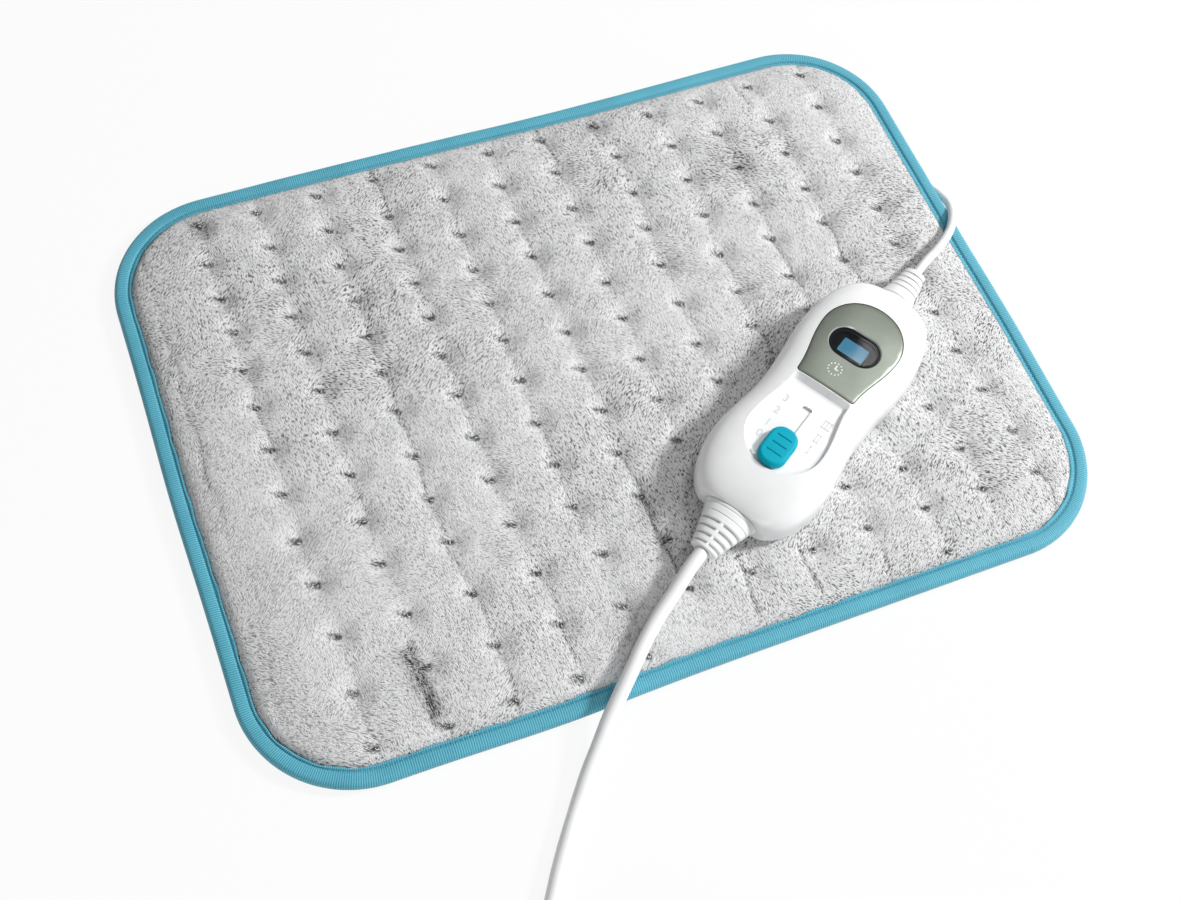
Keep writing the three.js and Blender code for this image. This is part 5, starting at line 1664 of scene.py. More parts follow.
@dataclass
class Binding:
    """The woven tape folded round the pad's edge, and its line of stitches."""

    shape: PadShape
    round: float = 2.3
    wall: float = 1.2
    groove_place: float = 6.7
    groove_depth: float = 0.8
    groove_reach: float = 1.1
    low_groove_share: float = 0.35
    lip_span: Pair = (6.6, 9.0)
    sway_from: float = 3.0
    sway_height: float = 0.16
    lip_height: float = 0.2
    lip_shift: float = -0.35
    lip_lean: float = 0.6
    lip_waver: float = 0.45
    corner_steps: int = 60
    straight_steps: tuple[int, int] = (110, 160)
    stitch_pitch: float = 2.1
    stitch_share: float = 0.8
    stitch_radius: float = 0.22
    stitch_lift: float = 0.12

    def section(self) -> Points:
        """The tape's closed outline, as inset and height, from the upper lip round to the lower.

        Returns:
            Points of shape (count, 2).
        """
        width, high, wall = self.shape.tape_width, self.shape.tape_height, self.wall
        half = wall / 2
        lip = arc((width - half, high - half), half, -80.0, 80.0, 7)
        share = np.linspace(1.0, -1.0, 9)
        along = self.groove_place + self.groove_reach * share
        groove = np.stack([along, np.cos(share * math.pi / 2) ** 2], axis=1)
        top = groove * (1.0, -self.groove_depth) + (0.0, high)
        around = np.radians(np.linspace(90.0, 270.0, 15))
        outer = np.stack([self.round * (1 + np.cos(around)), high / 2 * (1 + np.sin(around))], axis=1)
        low = groove[::-1] * (1.0, self.low_groove_share * self.groove_depth)
        low_lip = (lip * (1.0, -1.0) + (0.0, high))[::-1]
        near, far = width - wall, wall + 0.1
        inner = [(near, wall), (far, wall), (far, high - wall), (near, high - wall)]
        return np.vstack([lip, top, outer, low, low_lip, inner])

    @staticmethod
    def waver(angle: Points) -> tuple[Points, Points]:
        """Slow sway of the tape and quicker sway of its lip, which join up at the end of a lap.

        Args:
            angle: Share of the lap, as an angle in radians.

        Returns:
            Both sways.
        """
        slow = 0.5 * np.sin(7 * angle + 0.4) + 0.35 * np.sin(17 * angle + 2.0)
        slow = slow + 0.22 * np.sin(41 * angle)
        return slow, 0.5 * np.sin(61 * angle + 1.0) + 0.3 * np.sin(97 * angle)

    def build(self) -> None:
        """Sweeps the outline round the pad."""
        section = self.section()
        rim = self.shape.outline(0.0, self.corner_steps, self.straight_steps)
        travel = travel_along(rim)
        total = travel[-1] + np.linalg.norm(rim[0] - rim[-1])
        sway, lip_sway = self.waver(2 * math.pi * travel / total)
        rings, places = [], []
        for (inset, height), distance in zip(section, travel_along(section)):
            base = self.shape.outline(inset, self.corner_steps, self.straight_steps)
            inward = base - rim
            size = np.linalg.norm(inward, axis=1)[:, None]
            inward = np.where(size > 1e-6, inward / np.maximum(size, 1e-6), 0.0)
            lip = smoothstep(np.array([inset]), *self.lip_span)[0]
            on_top = height > self.sway_from
            lifted = height + (self.sway_height * sway + self.lip_height * lip * lip_sway) * on_top
            wider = self.lip_shift - self.lip_lean * inward.sum(axis=1) + self.lip_waver * lip_sway
            shifted = base + inward * (wider * lip)[:, None]
            rings.append(np.column_stack([shifted + self.shape.sway(base), lifted]))
            places.append(np.stack([travel * MM, np.full(len(rim), distance * MM)], axis=1))
        shape = loft(np.stack(rings, axis=1), Ends.JOINED)
        piece = new_piece("binding_tape", *shape, Look.TAPE.material)
        add_uv(piece, "tape", np.stack(places, axis=1).reshape(-1, 2), total * MM)
        outward(piece)
        hand_over(piece, "tape", "edge_binding")

    def stitches(self) -> None:
        """Lays a line of stitches in the groove with a Geometry Nodes tree."""
        line = self.shape.outline(self.groove_place, self.corner_steps, self.straight_steps)
        length = travel_along(np.vstack([line, line[:1]]))[-1]
        even = even_steps(line, round(length / self.stitch_pitch), closed=True)
        even = even + self.shape.sway(even)
        ahead = np.roll(even, -1, axis=0) - np.roll(even, 1, axis=0)
        height = self.shape.tape_height - self.groove_depth + self.stitch_lift
        seeds = new_piece("stitch_seeds", at_level(even, height), [])
        add_attribute(seeds, "turn", np.arctan2(ahead[:, 1], ahead[:, 0]))
        stitch = self.stitch_pitch * self.stitch_share * MM
        tree = Growth("tape_stitches", length=stitch, thread=self.stitch_radius * MM)
        ball = tree.node("MeshUVSphere", inputs={"Segments": 6, "Rings": 5, "Radius": 1.0})
        thread = tree.size("thread")
        scale = tree.vector(X=tree.size("length") * 0.5, Y=thread, Z=thread)
        facing = tree.vector(Z=tree.stored("turn"))
        shape, look = ball.outputs["Mesh"], Look.STITCH.material
        piece = tree.plant("tape_stitches", shape, seeds, look, Rotation=facing, Scale=scale)
        piece.data.shade_smooth()
        outward(piece)
        hand_over(piece, "tape")


# The controller


@dataclass
class Controller:
    """Place and shape of the controller. In its frame x runs along it, y to its left and z up."""

    place: Triple = CONTROLLER_PLACE
    turn: float = CONTROLLER_TURN
    length: float = 143.5
    waist: float = 52.4
    lower_lobe: float = 65.5
    upper_lobe: float = 61.0
    waist_place: float = -5.3
    waist_reach: float = 30.0
    height: float = 22.5
    parting: float = 7.0
    outline_power: float = 3.2
    dome_power: float = 3.4
    low_end: float = -68.75
    high_end: float = 69.75
    boot_axis: float = 8.0
    panel_floor: float = 19.9
    fit_gap: float = 0.3
    foot_pull: float = 12.0
    round_pull: float = 13.0
    fascia_foot: Pair = (2.8, 14.75)
    fascia_round: Pair = (34.8, 19.5)
    panel_foot: float = 14.0
    panel_round: Pair = (-28.75, 18.25)
    window_place: Pair = (28.8, 0.0)
    window_size: Triple = (16.0, 24.4, 7.7)

    def to_pad(self, points: Points) -> Points:
        """Moves points from the controller's frame to the pad's."""
        return turned(np.asarray(points, float), self.turn) + self.place

    def half_width(self, x: Points) -> Points:
        """Half the housing's width at a place along it, before its ends are rounded.

        Args:
            x: Places along the controller.

        Returns:
            The half widths.
        """
        from_waist = (x - self.waist_place) / self.waist_reach
        lobe = np.where(from_waist < 0, self.lower_lobe, self.upper_lobe)
        return self.waist / 2 + (lobe - self.waist) / 2 * (1 - np.exp(-(from_waist**2)))

    def outline(self, count: int, inset: float = 0.0) -> Points:
        """Points round the housing at its parting line, drawn in by an inset.

        Args:
            count: Number of points.
            inset: How far it is drawn in.

        Returns:
            Points of shape (count, 2).
        """
        angle = round_angles(count)
        power = 2 / self.outline_power
        x = (self.length / 2 - inset) * np.sign(np.cos(angle)) * np.abs(np.cos(angle)) ** power
        y = (self.half_width(x) - inset) * np.sign(np.sin(angle)) * np.abs(np.sin(angle)) ** power
        return np.stack([x, y], axis=1)

    def dome(self, places: Points) -> Points:
        """Height of the housing's top at each place.

        Args:
            places: Places in the controller's frame.

        Returns:
            The heights.
        """
        outline = self.outline(2880)
        angle = np.arctan2(outline[:, 1], outline[:, 0])
        order = np.argsort(angle)
        reach = np.hypot(*outline.T)[order]
        wanted = np.arctan2(places[:, 1], places[:, 0])
        share = np.hypot(*places.T) / np.interp(wanted, angle[order], reach, period=2 * math.pi)
        share = np.clip(share, 0.0, 1.0)
        power = self.dome_power
        return self.parting + (self.height - self.parting) * (1 - share**power) ** (1 / power)

    def flat_ends(self, points: Points) -> Points:
        """Cuts both ends of the housing off flat for the cord boots.

        Args:
            points: Points in the controller's frame.

        Returns:
            The points, cut off.
        """
        cut = np.array(points, float)
        cut[:, 0] = np.clip(cut[:, 0], self.low_end, self.high_end)
        return cut

    def shield(self, foot_at: float, foot: float, round_at: float, half: float, count: int) -> Points:
        """A straight foot, sides that swell and a round far end, as the fascia and the panel have.

        Args:
            foot_at: Place of the foot along the controller.
            foot: Half the foot's width.
            round_at: Place of the middle of the round end.
            half: Half the width, which is the radius of the round end.
            count: Number of points.

        Returns:
            Points round the shape.
        """
        way = 1.0 if round_at > foot_at else -1.0
        foot_pull = (foot_at + way * self.foot_pull, -foot)
        round_pull = (round_at - way * self.round_pull, -half)
        low = bezier([(foot_at, -foot), foot_pull, round_pull, (round_at, -half)])
        end = arc((round_at, 0.0), half, -90.0, 90.0)
        end[:, 0] = round_at + way * (end[:, 0] - round_at)
        high = low[::-1] * (1.0, -1.0)
        loop = even_steps(np.vstack([low[:-1], end, high[1:]]), count, closed=True)
        near = [np.roll(loop, shift, axis=0) for shift in (-2, -1, 0, 1, 2)]
        return np.mean(near, axis=0)

    def fascia(self, growth: float, count: int = 200) -> Points:
        """The fascia's outline, grown outwards."""
        (foot_at, foot), (round_at, half) = self.fascia_foot, self.fascia_round
        return self.shield(foot_at - growth, foot + growth, round_at, half + growth, count)

    def panel(self, growth: float, end: float, count: int = 200) -> Points:
        """The switch panel's outline, grown outwards, with a place of its own for its foot."""
        round_at, half = self.panel_round
        return self.shield(end, self.panel_foot + growth, round_at, half + growth, count)

    def window(self, growth: float, steps: int = 12) -> Points:
        """The display window's outline, grown outwards.

        Args:
            growth: How far it is grown.
            steps: Steps round each corner.

        Returns:
            Points of shape (count, 2).
        """
        length, width, corner = self.window_size
        size = (length + 2 * growth, width + 2 * growth, corner + growth)
        return rounded_rectangle(*size, steps) + self.window_place


def inside(loop: Points, places: Points) -> Points:
    """Tells for each place whether it lies inside a closed loop.

    Args:
        loop: Points round the loop.
        places: Places of shape (count, 2).

    Returns:
        A truth for each place.
    """
    within = np.zeros(len(places), bool)
    for (ax, ay), (bx, by) in zip(loop, np.roll(loop, -1, axis=0)):
        crosses = (ay > places[:, 1]) != (by > places[:, 1])
        if crosses.any():
            at = ax + (places[:, 1] - ay) * (bx - ax) / (by - ay + 1e-12)
            within ^= crosses & (places[:, 0] < at)
    return within


def dress_inside(piece: Piece, points: Points, loop: Points) -> None:
    """Gives the faces inside a loop the second of a piece's materials.

    Args:
        piece: The piece.
        points: Its points in the controller's frame.
        loop: The loop in the same frame.
    """
    faces = piece.data.polygons
    middles = np.array([points[list(face.vertices), :2].mean(axis=0) for face in faces])
    for face, within in zip(faces, inside(loop, middles)):
        face.material_index = int(within)


class Patch:
    """A surface over a plane region, filled with triangles that follow the loops drawn on it."""

    def __init__(self, spacing: float) -> None:
        """Starts with no loop; spacing is the distance between the points of the filling."""
        self.spacing = spacing
        self.loops: list[tuple[Points, Points]] = []

    def loop(self, points: Points, heights: Union[Points, float]) -> None:
        """Adds a closed loop with its heights; the first loop is the outer edge."""
        self.loops.append((points, np.broadcast_to(np.asarray(heights, float), len(points))))

    def fill(self, height: Callable[[Points], Points], holes: Sequence[Points] = ()) -> Shape:
        """Triangulates the region inside the first loop.

        Args:
            height: Gives the height of the filling's own points.
            holes: Loops whose insides are left open.

        Returns:
            The points and the triangles, which face up.
        """
        outer = self.loops[0][0]
        drawn = np.concatenate([loop for loop, _ in self.loops])
        low, high = outer.min(axis=0), outer.max(axis=0)
        x, y = np.meshgrid(*(np.arange(low[axis], high[axis], self.spacing) for axis in (0, 1)))
        grid = np.stack([x.ravel(), y.ravel()], axis=1)
        grid = grid[inside(outer, grid)]
        tree = tree_of(drawn)
        clear = np.array([tree.find((x, y, 0.0))[2] > 0.6 * self.spacing for x, y in grid])
        grid = grid[clear]
        edges, start = [], 0
        for loop, _ in self.loops:
            count = len(loop)
            edges += [(start + step, start + (step + 1) % count) for step in range(count)]
            start += count
        places = np.concatenate([drawn, grid])
        known = np.concatenate([heights for _, heights in self.loops] + [height(grid)])
        vectors = [Vector(place) for place in places]
        found, _, faces, origin, _, _ = delaunay_2d_cdt(vectors, edges, [], 0, 1e-6)
        flat = np.array([tuple(place) for place in found])
        top = np.array([known[source[0]] if source else 0.0 for source in origin])
        middles = np.array([flat[list(face)].mean(axis=0) for face in faces])
        keep = inside(outer, middles)
        for hole in holes:
            keep &= ~inside(hole, middles)
        kept = [tuple(face) for face, wanted in zip(faces, keep) if wanted]
        return np.column_stack([flat, top]), kept


@dataclass
class UpperHousing:
    """The glossy upper shell, with the switch panel sunk into it and a seat for the fascia."""

    form: Controller
    points_round: int = 360
    rim_share: float = 0.83
    rim_steps: int = 26
    skirt_share: float = 0.992
    skirt_drop: float = 0.05
    filling: float = 1.5
    panel_edge: float = 0.45
    ramp: Pair = (-0.4, 1.9)
    ramp_rounding: float = 0.22
    slot: Triple = (30.6, 4.6, 1.0)
    slot_place: float = -25.0
    slot_corner_steps: int = 6
    slot_taper: float = 0.1
    slot_wall: float = 1.1
    seat_depth: float = 1.3
    seat_taper: float = 0.08
    opening_inset: float = 1.6
    shell: float = 1.0
    crisp: float = 32.0

    def build(self) -> None:
        """Makes the shell from rings near its edge and a filled patch over its top."""
        form = self.form
        outline = form.outline(self.points_round)
        last = math.acos(self.rim_share ** (form.dome_power / 2))
        rings = []
        for step in range(self.rim_steps + 1):
            angle = last * step / self.rim_steps
            share = math.cos(angle) ** (2 / form.dome_power)
            rise = math.sin(angle) ** (2 / form.dome_power)
            level = form.parting + (form.height - form.parting) * rise
            rings.append(at_level(outline * share, level))
        skirt = rings[0].copy()
        skirt[:, :2] *= self.skirt_share
        skirt[:, 2] = form.parting - self.skirt_drop
        sides = loft([skirt, *rings], Ends.OPEN)
        edge = rings[-1]
        patch = Patch(self.filling)
        patch.loop(edge[:, :2], edge[:, 2])
        floor, half_edge, soft = form.panel_floor, self.panel_edge, self.ramp_rounding
        foot, head = self.ramp
        for growth, end, drop in ((half_edge, head + 0.35, 0.0), (0.1, head, soft)):
            loop = form.panel(growth, end)
            patch.loop(loop, form.dome(loop) - drop)
        patch.loop(form.panel(-0.3, foot), floor + soft)
        patch.loop(form.panel(-half_edge - 0.3, 2 * foot), floor)
        length, width, corner = self.slot
        for taper, level in ((0.0, floor), (self.slot_taper, floor - self.slot_wall)):
            slot = rounded_rectangle(length - taper, width - taper, corner, self.slot_corner_steps)
            slot = slot + (self.slot_place, 0.0)
            patch.loop(slot, level)
        ledge = form.fascia(form.fit_gap)
        patch.loop(ledge, form.dome(ledge))
        seat = form.fascia(form.fit_gap - self.seat_taper)
        patch.loop(seat, form.dome(seat) - self.seat_depth)
        opening = form.window(-self.opening_inset)
        patch.loop(opening, form.dome(opening) - self.seat_depth)

        def height(places: Points) -> Points:
            """Height of the top, the panel's floor or the fascia's seat at each place.

            Args:
                places: Places in the controller's frame.

            Returns:
                The heights.
            """
            top = form.dome(places)
            share = np.clip((places[:, 0] - foot) / (head - foot), 0.0, 1.0)
            slope = floor + soft + share * (top - floor - 2 * soft)
            top = np.where(inside(form.panel(0.1, head), places), slope, top)
            top = np.where(inside(form.panel(-half_edge, foot - 0.2), places), floor, top)
            return np.where(inside(seat, places), form.dome(places) - self.seat_depth, top)

        points, faces = joined(sides, patch.fill(height, [slot, opening]))
        points = form.flat_ends(points)
        # The seat under the fascia is black: painted shadow in the gap round the fascia.
        looks = Look.GLOSS_WHITE.material, Look.BLACK.material
        piece = new_piece("controller_top", form.to_pad(points), faces, *looks)
        dress_inside(piece, points, ledge)
        outward(piece)
        thicken(piece, self.shell)
        sharpen(piece, self.crisp)
        hand_over(piece, "gloss_white", "upper_housing")


@dataclass
class LowerHousing:
    """The lower tray, with a round foot and four wells for the screws."""

    form: Controller
    fillet: float = 5.0
    top: float = 6.75
    points_round: int = 240
    screw_places: Pair = (53.0, 14.0)
    well_radius: float = 2.8
    well_depth: float = 3.0
    well_bevel: float = 0.3
    rim_width: float = 1.5
    filling: float = 3.0

    def build(self) -> None:
        """Makes the closed tray."""
        form = self.form
        rings = []
        for angle in np.linspace(0.0, math.pi / 2, 12):
            loop = form.outline(self.points_round, self.fillet * (1 - math.sin(angle)))
            rings.append(at_level(loop, self.fillet * (1 - math.cos(angle))))
        for inset in (0.0, self.rim_width):
            rings.append(at_level(form.outline(self.points_round, inset), self.top))
        sides = loft(rings, Ends.OPEN)
        foot = Patch(self.filling)
        foot.loop(rings[0][:, :2], 0.0)
        around = round_angles(32)
        circle = np.stack([np.cos(around), np.sin(around)], axis=1)
        for side in ((-1, -1), (-1, 1), (1, -1), (1, 1)):
            middle = np.array(self.screw_places) * side
            foot.loop(middle + circle * (self.well_radius + self.well_bevel), 0.0)
            foot.loop(middle + circle * self.well_radius, self.well_bevel)
            foot.loop(middle + circle * (self.well_radius - 0.06), self.well_depth)
        base, base_faces = foot.fill(self.well_heights)
        lid = Patch(self.filling)
        lid.loop(rings[-1][:, :2], self.top)
        inner = lid.fill(lambda places: np.full(len(places), self.top))
        points, faces = joined(sides, (base, [face[::-1] for face in base_faces]), inner)
        points = form.to_pad(form.flat_ends(points))
        piece = new_piece("controller_tray", points, faces, Look.GLOSS_WHITE.material)
        close_up(piece, "gloss_white", "lower_housing")

    def well_heights(self, places: Points) -> Points:
        """Height of the foot at each place: level, but up inside the screw wells."""
        off = np.abs(places) - self.screw_places
        return np.where(np.hypot(*off.T) < self.well_radius, self.well_depth, 0.0)


@dataclass
class Fascia:
    """The grey-green plate round the window, with a bright bevel and a printed clock."""

    form: Controller
    thickness: float = 0.8
    edge_gap: float = 0.05
    edge_reach: float = 0.4
    edge_drop: float = 0.16
    window_gap: float = 0.2
    bevel_reach: float = 0.75
    bevel_depth: float = 0.6
    filling: float = 1.3
    crisp: float = 25.0
    clock_place: Pair = (13.0, 1.0)
    clock_radius: float = 3.2
    dot_radius: float = 0.36
    dot_height: float = 0.06
    print_lift: float = 0.02

    def build(self) -> None:
        """Makes the plate."""
        form = self.form
        patch = Patch(self.filling)
        for growth, drop in ((-self.edge_gap, self.edge_drop), (-self.edge_reach, 0.0)):
            loop = form.fascia(growth)
            patch.loop(loop, form.dome(loop) - drop)
        bevel, opening = form.window(self.bevel_reach), form.window(self.window_gap)
        patch.loop(bevel, form.dome(bevel))
        patch.loop(opening, form.dome(opening) - self.bevel_depth)
        points, faces = patch.fill(form.dome, [opening])
        piece = new_piece("fascia", form.to_pad(points), faces, Look.FASCIA.material, Look.RIM.material)
        dress_inside(piece, points, bevel)
        outward(piece)
        thicken(piece, self.thickness)
        sharpen(piece, self.crisp)
        hand_over(piece, "fascia", "fascia_plate")

    def clock(self) -> None:
        """Prints a ring of twelve dots and two hands with a Geometry Nodes tree."""
        around = np.arange(12) * math.pi / 6
        ring = np.stack([np.cos(around), np.sin(around)], axis=1) * self.clock_radius
        hands = [(0.0, 0.0), (0.6, 0.0), (1.2, 0.0), (1.8, 0.0), (0.0, -0.6), (0.0, -1.2)]
        places = np.concatenate([ring, hands]) + self.clock_place
        points = np.column_stack([places, self.form.dome(places) + self.print_lift])
        seeds = new_piece("clock_seeds", self.form.to_pad(points), [])
        tree = Growth("clock_dots", radius=self.dot_radius * MM, height=self.dot_height * MM)
        dot = tree.node(
            "MeshCylinder",
            {"fill_type": "TRIANGLE_FAN"},
            {"Vertices": 16, "Radius": tree.size("radius"), "Depth": tree.size("height")},
        )
        piece = tree.plant("clock_symbol", dot.outputs["Mesh"], seeds, Look.PRINT.material)
        hand_over(piece, "fascia")


@dataclass
class Display:
    """The dark lens and the lit display below it."""

    form: Controller
    lens_bottom: float = 20.2
    lens_top: float = 21.6
    screen_size: Triple = (8.0, 13.0, 0.6)
    screen_depth: float = 0.3
    module_size: Triple = (12.0, 18.0, 1.0)
    module_bottom: float = 8.2
    module_top: float = 17.3
    frame_size: Triple = (12.6, 21.0, 3.0)
    frame_slope: float = 0.2
    frame_height: float = 1.9
    bezel: Triple = (0.6, 0.6, 0.2)

    def lens(self) -> None:
        """Makes the lens, whose upper edge is rounded."""
        rings = [at_level(self.form.window(0.0), self.lens_bottom)]
        for growth, drop in ((0.0, 0.5), (-0.12, 0.2), (-0.4, 0.04), (-0.9, 0.0)):
            rings.append(at_level(self.form.window(growth), self.lens_top - drop))
        points, faces = loft(rings)
        piece = new_piece("window_lens", self.form.to_pad(points), faces, Look.LENS.material)
        close_up(piece, "lens", "display_window", crisp=50.0)

    def module(self) -> None:
        """Makes the dark module with its lit face, raised towards the lens on a frame."""
        base, face = self.module_top, self.module_top + self.frame_height
        bezel_size = tuple(np.add(self.screen_size, self.bezel))
        levels = (
            (self.module_size, self.module_bottom),
            (self.module_size, base),
            (self.frame_size, base + self.frame_slope),
            (self.frame_size, face),
            (bezel_size, face),
            (self.screen_size, face - self.screen_depth),
        )
        rings = []
        for size, level in levels:
            loop = rounded_rectangle(*size, 6) + self.form.window_place
            rings.append(at_level(loop, level))
        points, faces = loft(rings)
        looks = Look.BLACK.material, Look.SCREEN.material
        piece = new_piece("display", self.form.to_pad(points), faces, *looks)
        piece.data.polygons[len(piece.data.polygons) - 1].material_index = 1
        sharpen(piece)
        hand_over(piece, "display", "display_module")


@dataclass
class SlideKnob:
    """The turquoise slide button: a soft pillow with three grip grooves, on its stem."""

    form: Controller
    place: float = -36.0
    size: Pair = (20.4, 13.6)
    corner: float = 6.2
    height: float = 4.2
    edge: float = 1.7
    side_height: float = 0.9
    foot_share: float = 0.985
    crown: float = 0.25
    grid_step: float = 0.22
    groove_pitch: float = 4.4
    groove_width: float = 0.55
    groove_depth: float = 0.4
    groove_reach: float = 3.9
    stem: Triple = (8.0, 4.0, 18.9)
    stem_corner: float = 0.8
    stem_overlap: float = 0.5

    def build(self) -> None:
        """Makes the knob with its grooves and its stem."""
        places, rows, columns = rounded_grid(*self.size, self.corner, self.grid_step)
        inset = rounded_inset(*self.size, self.corner, places)
        bottom = self.form.panel_floor + self.form.fit_gap
        from_edge = 1 - np.clip(inset / self.edge, 0, 1)
        rounding = self.edge * (1 - np.sqrt(np.clip(1 - from_edge**2, 0, 1)))
        crown = self.crown * ((places / (np.array(self.size) / 2)) ** 2).sum(axis=1)
        groove = np.zeros(len(places))
        for side in (-1, 0, 1):
            across = np.abs(places[:, 0] - side * self.groove_pitch) / (self.groove_width / 2)
            reach = self.groove_reach
            along = 1 - smoothstep(np.abs(places[:, 1]), reach - 0.5, reach + 0.2)
            groove = np.maximum(groove, (1 - smoothstep(across, 0.45, 1.25)) * along)
        top = bottom + self.height - rounding - crown - self.groove_depth * groove
        top = np.maximum(top, bottom + self.side_height)
        count = rows * columns
        upper = at_level(places + (self.place, 0.0), top)
        lower = at_level(places * self.foot_share + (self.place, 0.0), bottom)
        length, width, low = self.stem
        loop = rounded_rectangle(length, width, self.stem_corner, 4) + (self.place, 0.0)
        stem = loft([at_level(loop, level) for level in (low, bottom + self.stem_overlap)])
        points, faces = joined(two_sided(upper, lower, rows, columns), stem)
        piece = new_piece("slide_button", self.form.to_pad(points), faces, Look.KNOB.material)
        plain = np.zeros(len(points) - count)
        # Painted shade in the grip grooves.
        add_attribute(piece, "hollow", np.concatenate([groove, plain]))
        close_up(piece, "knob", "slide_knob", crisp=60.0, body=SLIDER_BODY)


@dataclass
class PanelMarks:
    """The faint raised numbers and bars beside the slot."""

    form: Controller
    text_size: float = 5.4
    relief: float = 0.09
    number_places: tuple[float, ...] = (-34.0, -27.0, -19.5, -12.0)
    bar_places: tuple[float, ...] = (-27.4, -20.4, -12.4)
    bar_height: float = 4.0
    bar_pitch: float = 1.6
    bar_width: float = 0.45
    number_side: float = 10.6
    bar_side: float = -11.2

    def word(self, text: str, x: float, y: float) -> Shape:
        """Shapes one raised word whose top is towards the fascia.

        Args:
            text: The word.
            x: Its middle along the controller.
            y: Its middle across it.

        Returns:
            The points and the faces.
        """
        curve = bpy.data.curves.new(text, "FONT")
        curve.body = text
        curve.size = self.text_size
        curve.extrude = self.relief / 2
        curve.align_x = curve.align_y = "CENTER"
        holder = bpy.data.objects.new(text, curve)
        bpy.context.scene.collection.objects.link(holder)
        graph = bpy.context.evaluated_depsgraph_get()
        mesh = bpy.data.meshes.new_from_object(holder.evaluated_get(graph))
        points = np.zeros(len(mesh.vertices) * 3, np.float32)
        mesh.vertices.foreach_get("co", points)
        points = points.reshape(-1, 3)
        faces = [tuple(face.vertices) for face in mesh.polygons]
        bpy.data.objects.remove(holder)
        bpy.data.curves.remove(curve)
        bpy.data.meshes.remove(mesh)
        level = self.form.panel_floor + self.relief / 2 - 0.01
        turned_up = [points[:, 1] + x, y - points[:, 0], points[:, 2] + level]
        return np.column_stack(turned_up), faces

    def stroke(self, x: float, y: float, length: float, width: float) -> Shape:
        """Shapes one straight raised stroke with round corners.

        Args:
            x: Its middle along the controller.
            y: Its middle across it.
            length: Size along x.
            width: Size along y.

        Returns:
            The points and the faces.
        """
        loop = rounded_rectangle(length, width, 0.45 * min(length, width), 3) + (x, y)
        floor = self.form.panel_floor
        return loft([at_level(loop, floor + rise) for rise in (-0.02, self.relief)])

    def numeral(self, count: int, x: float) -> list[Shape]:
        """Shapes a number of bars between a line below and a line above them.

        Args:
            count: Number of bars.
            x: Their middle along the controller.

        Returns:
            The strokes.
        """
        offsets = (np.arange(count) - (count - 1) / 2) * self.bar_pitch
        size = self.bar_height, self.bar_width
        shapes = [self.stroke(x, self.bar_side + offset, *size) for offset in offsets]
        for end in (-1, 1):
            line = x + end * self.bar_height / 2
            shapes.append(self.stroke(line, self.bar_side, self.bar_width, count * self.bar_pitch))
        return shapes

    def build(self) -> None:
        """Makes all marks as one piece."""
        shapes = []
        for number, x in enumerate(self.number_places):
            shapes.append(self.word(str(number), x, self.number_side))
        for count, x in enumerate(self.bar_places, start=1):
            shapes += self.numeral(count, x)
        points, faces = joined(*shapes)
        piece = new_piece("panel_marks", self.form.to_pad(points), faces, Look.MARK.material)
        close_up(piece, "gloss_white")


@dataclass
class Boot:
    """A ribbed strain relief that tapers from the housing's end to the cord."""

    form: Controller
    name: str
    node: str
    end: float
    way: float
    length: float
    width: float
    height: float
    tip: float
    cord: float
    grooves: tuple[Triple, ...]
    bridge: float = 0.0
    hollowness: float = 0.8
    sides: int = 96
    step: float = 0.2
    bridged_depth: float = 0.7

    def build(self) -> None:
        """Lofts the boot and cuts its grooves, each of which may leave a bridge on top."""
        around = round_angles(self.sides)
        from_top = np.abs((around - math.pi / 2 + math.pi) % (2 * math.pi) - math.pi)
        open_share = np.ones(self.sides)
        if self.bridge:
            open_share = smoothstep(from_top, self.bridge * 0.6, self.bridge)
        rings, hollows = [], []
        for travel in np.arange(self.form.fit_gap, self.length + 0.01, self.step):
            share = (travel / self.length) ** self.hollowness
            half_width = (self.width + (self.tip - self.width) * share) / 2
            half_height = (self.height + (self.cord + 2.0 - self.height) * share) / 2
            cut = np.zeros(self.sides)
            for at, wide, deep in self.grooves:
                depth = deep * (1 - smoothstep(abs(travel - at), wide * 0.35, wide * 0.55))
                bridged = open_share if deep > self.bridged_depth else 1.0
                cut = np.maximum(cut, depth * bridged)
            edge = 0.5 * max(0.0, 1 - (self.length - travel) / 0.6) ** 2
            radii = half_width - cut - edge, half_height - cut - edge
            x = self.end + self.way * travel
            rings.append(ring_across(x, (0.0, self.form.boot_axis), radii, around))
            hollows.append(cut)
        points, faces = loft(rings)
        piece = new_piece(self.name, self.form.to_pad(points), faces, Look.BOOT.material)
        # Painted shade in the grooves, by their depth.
        add_attribute(piece, "hollow", np.clip(np.concatenate(hollows) / 1.3, 0.0, 1.0))
        close_up(piece, "gloss_white", self.node, crisp=70.0)


# Cords and plug


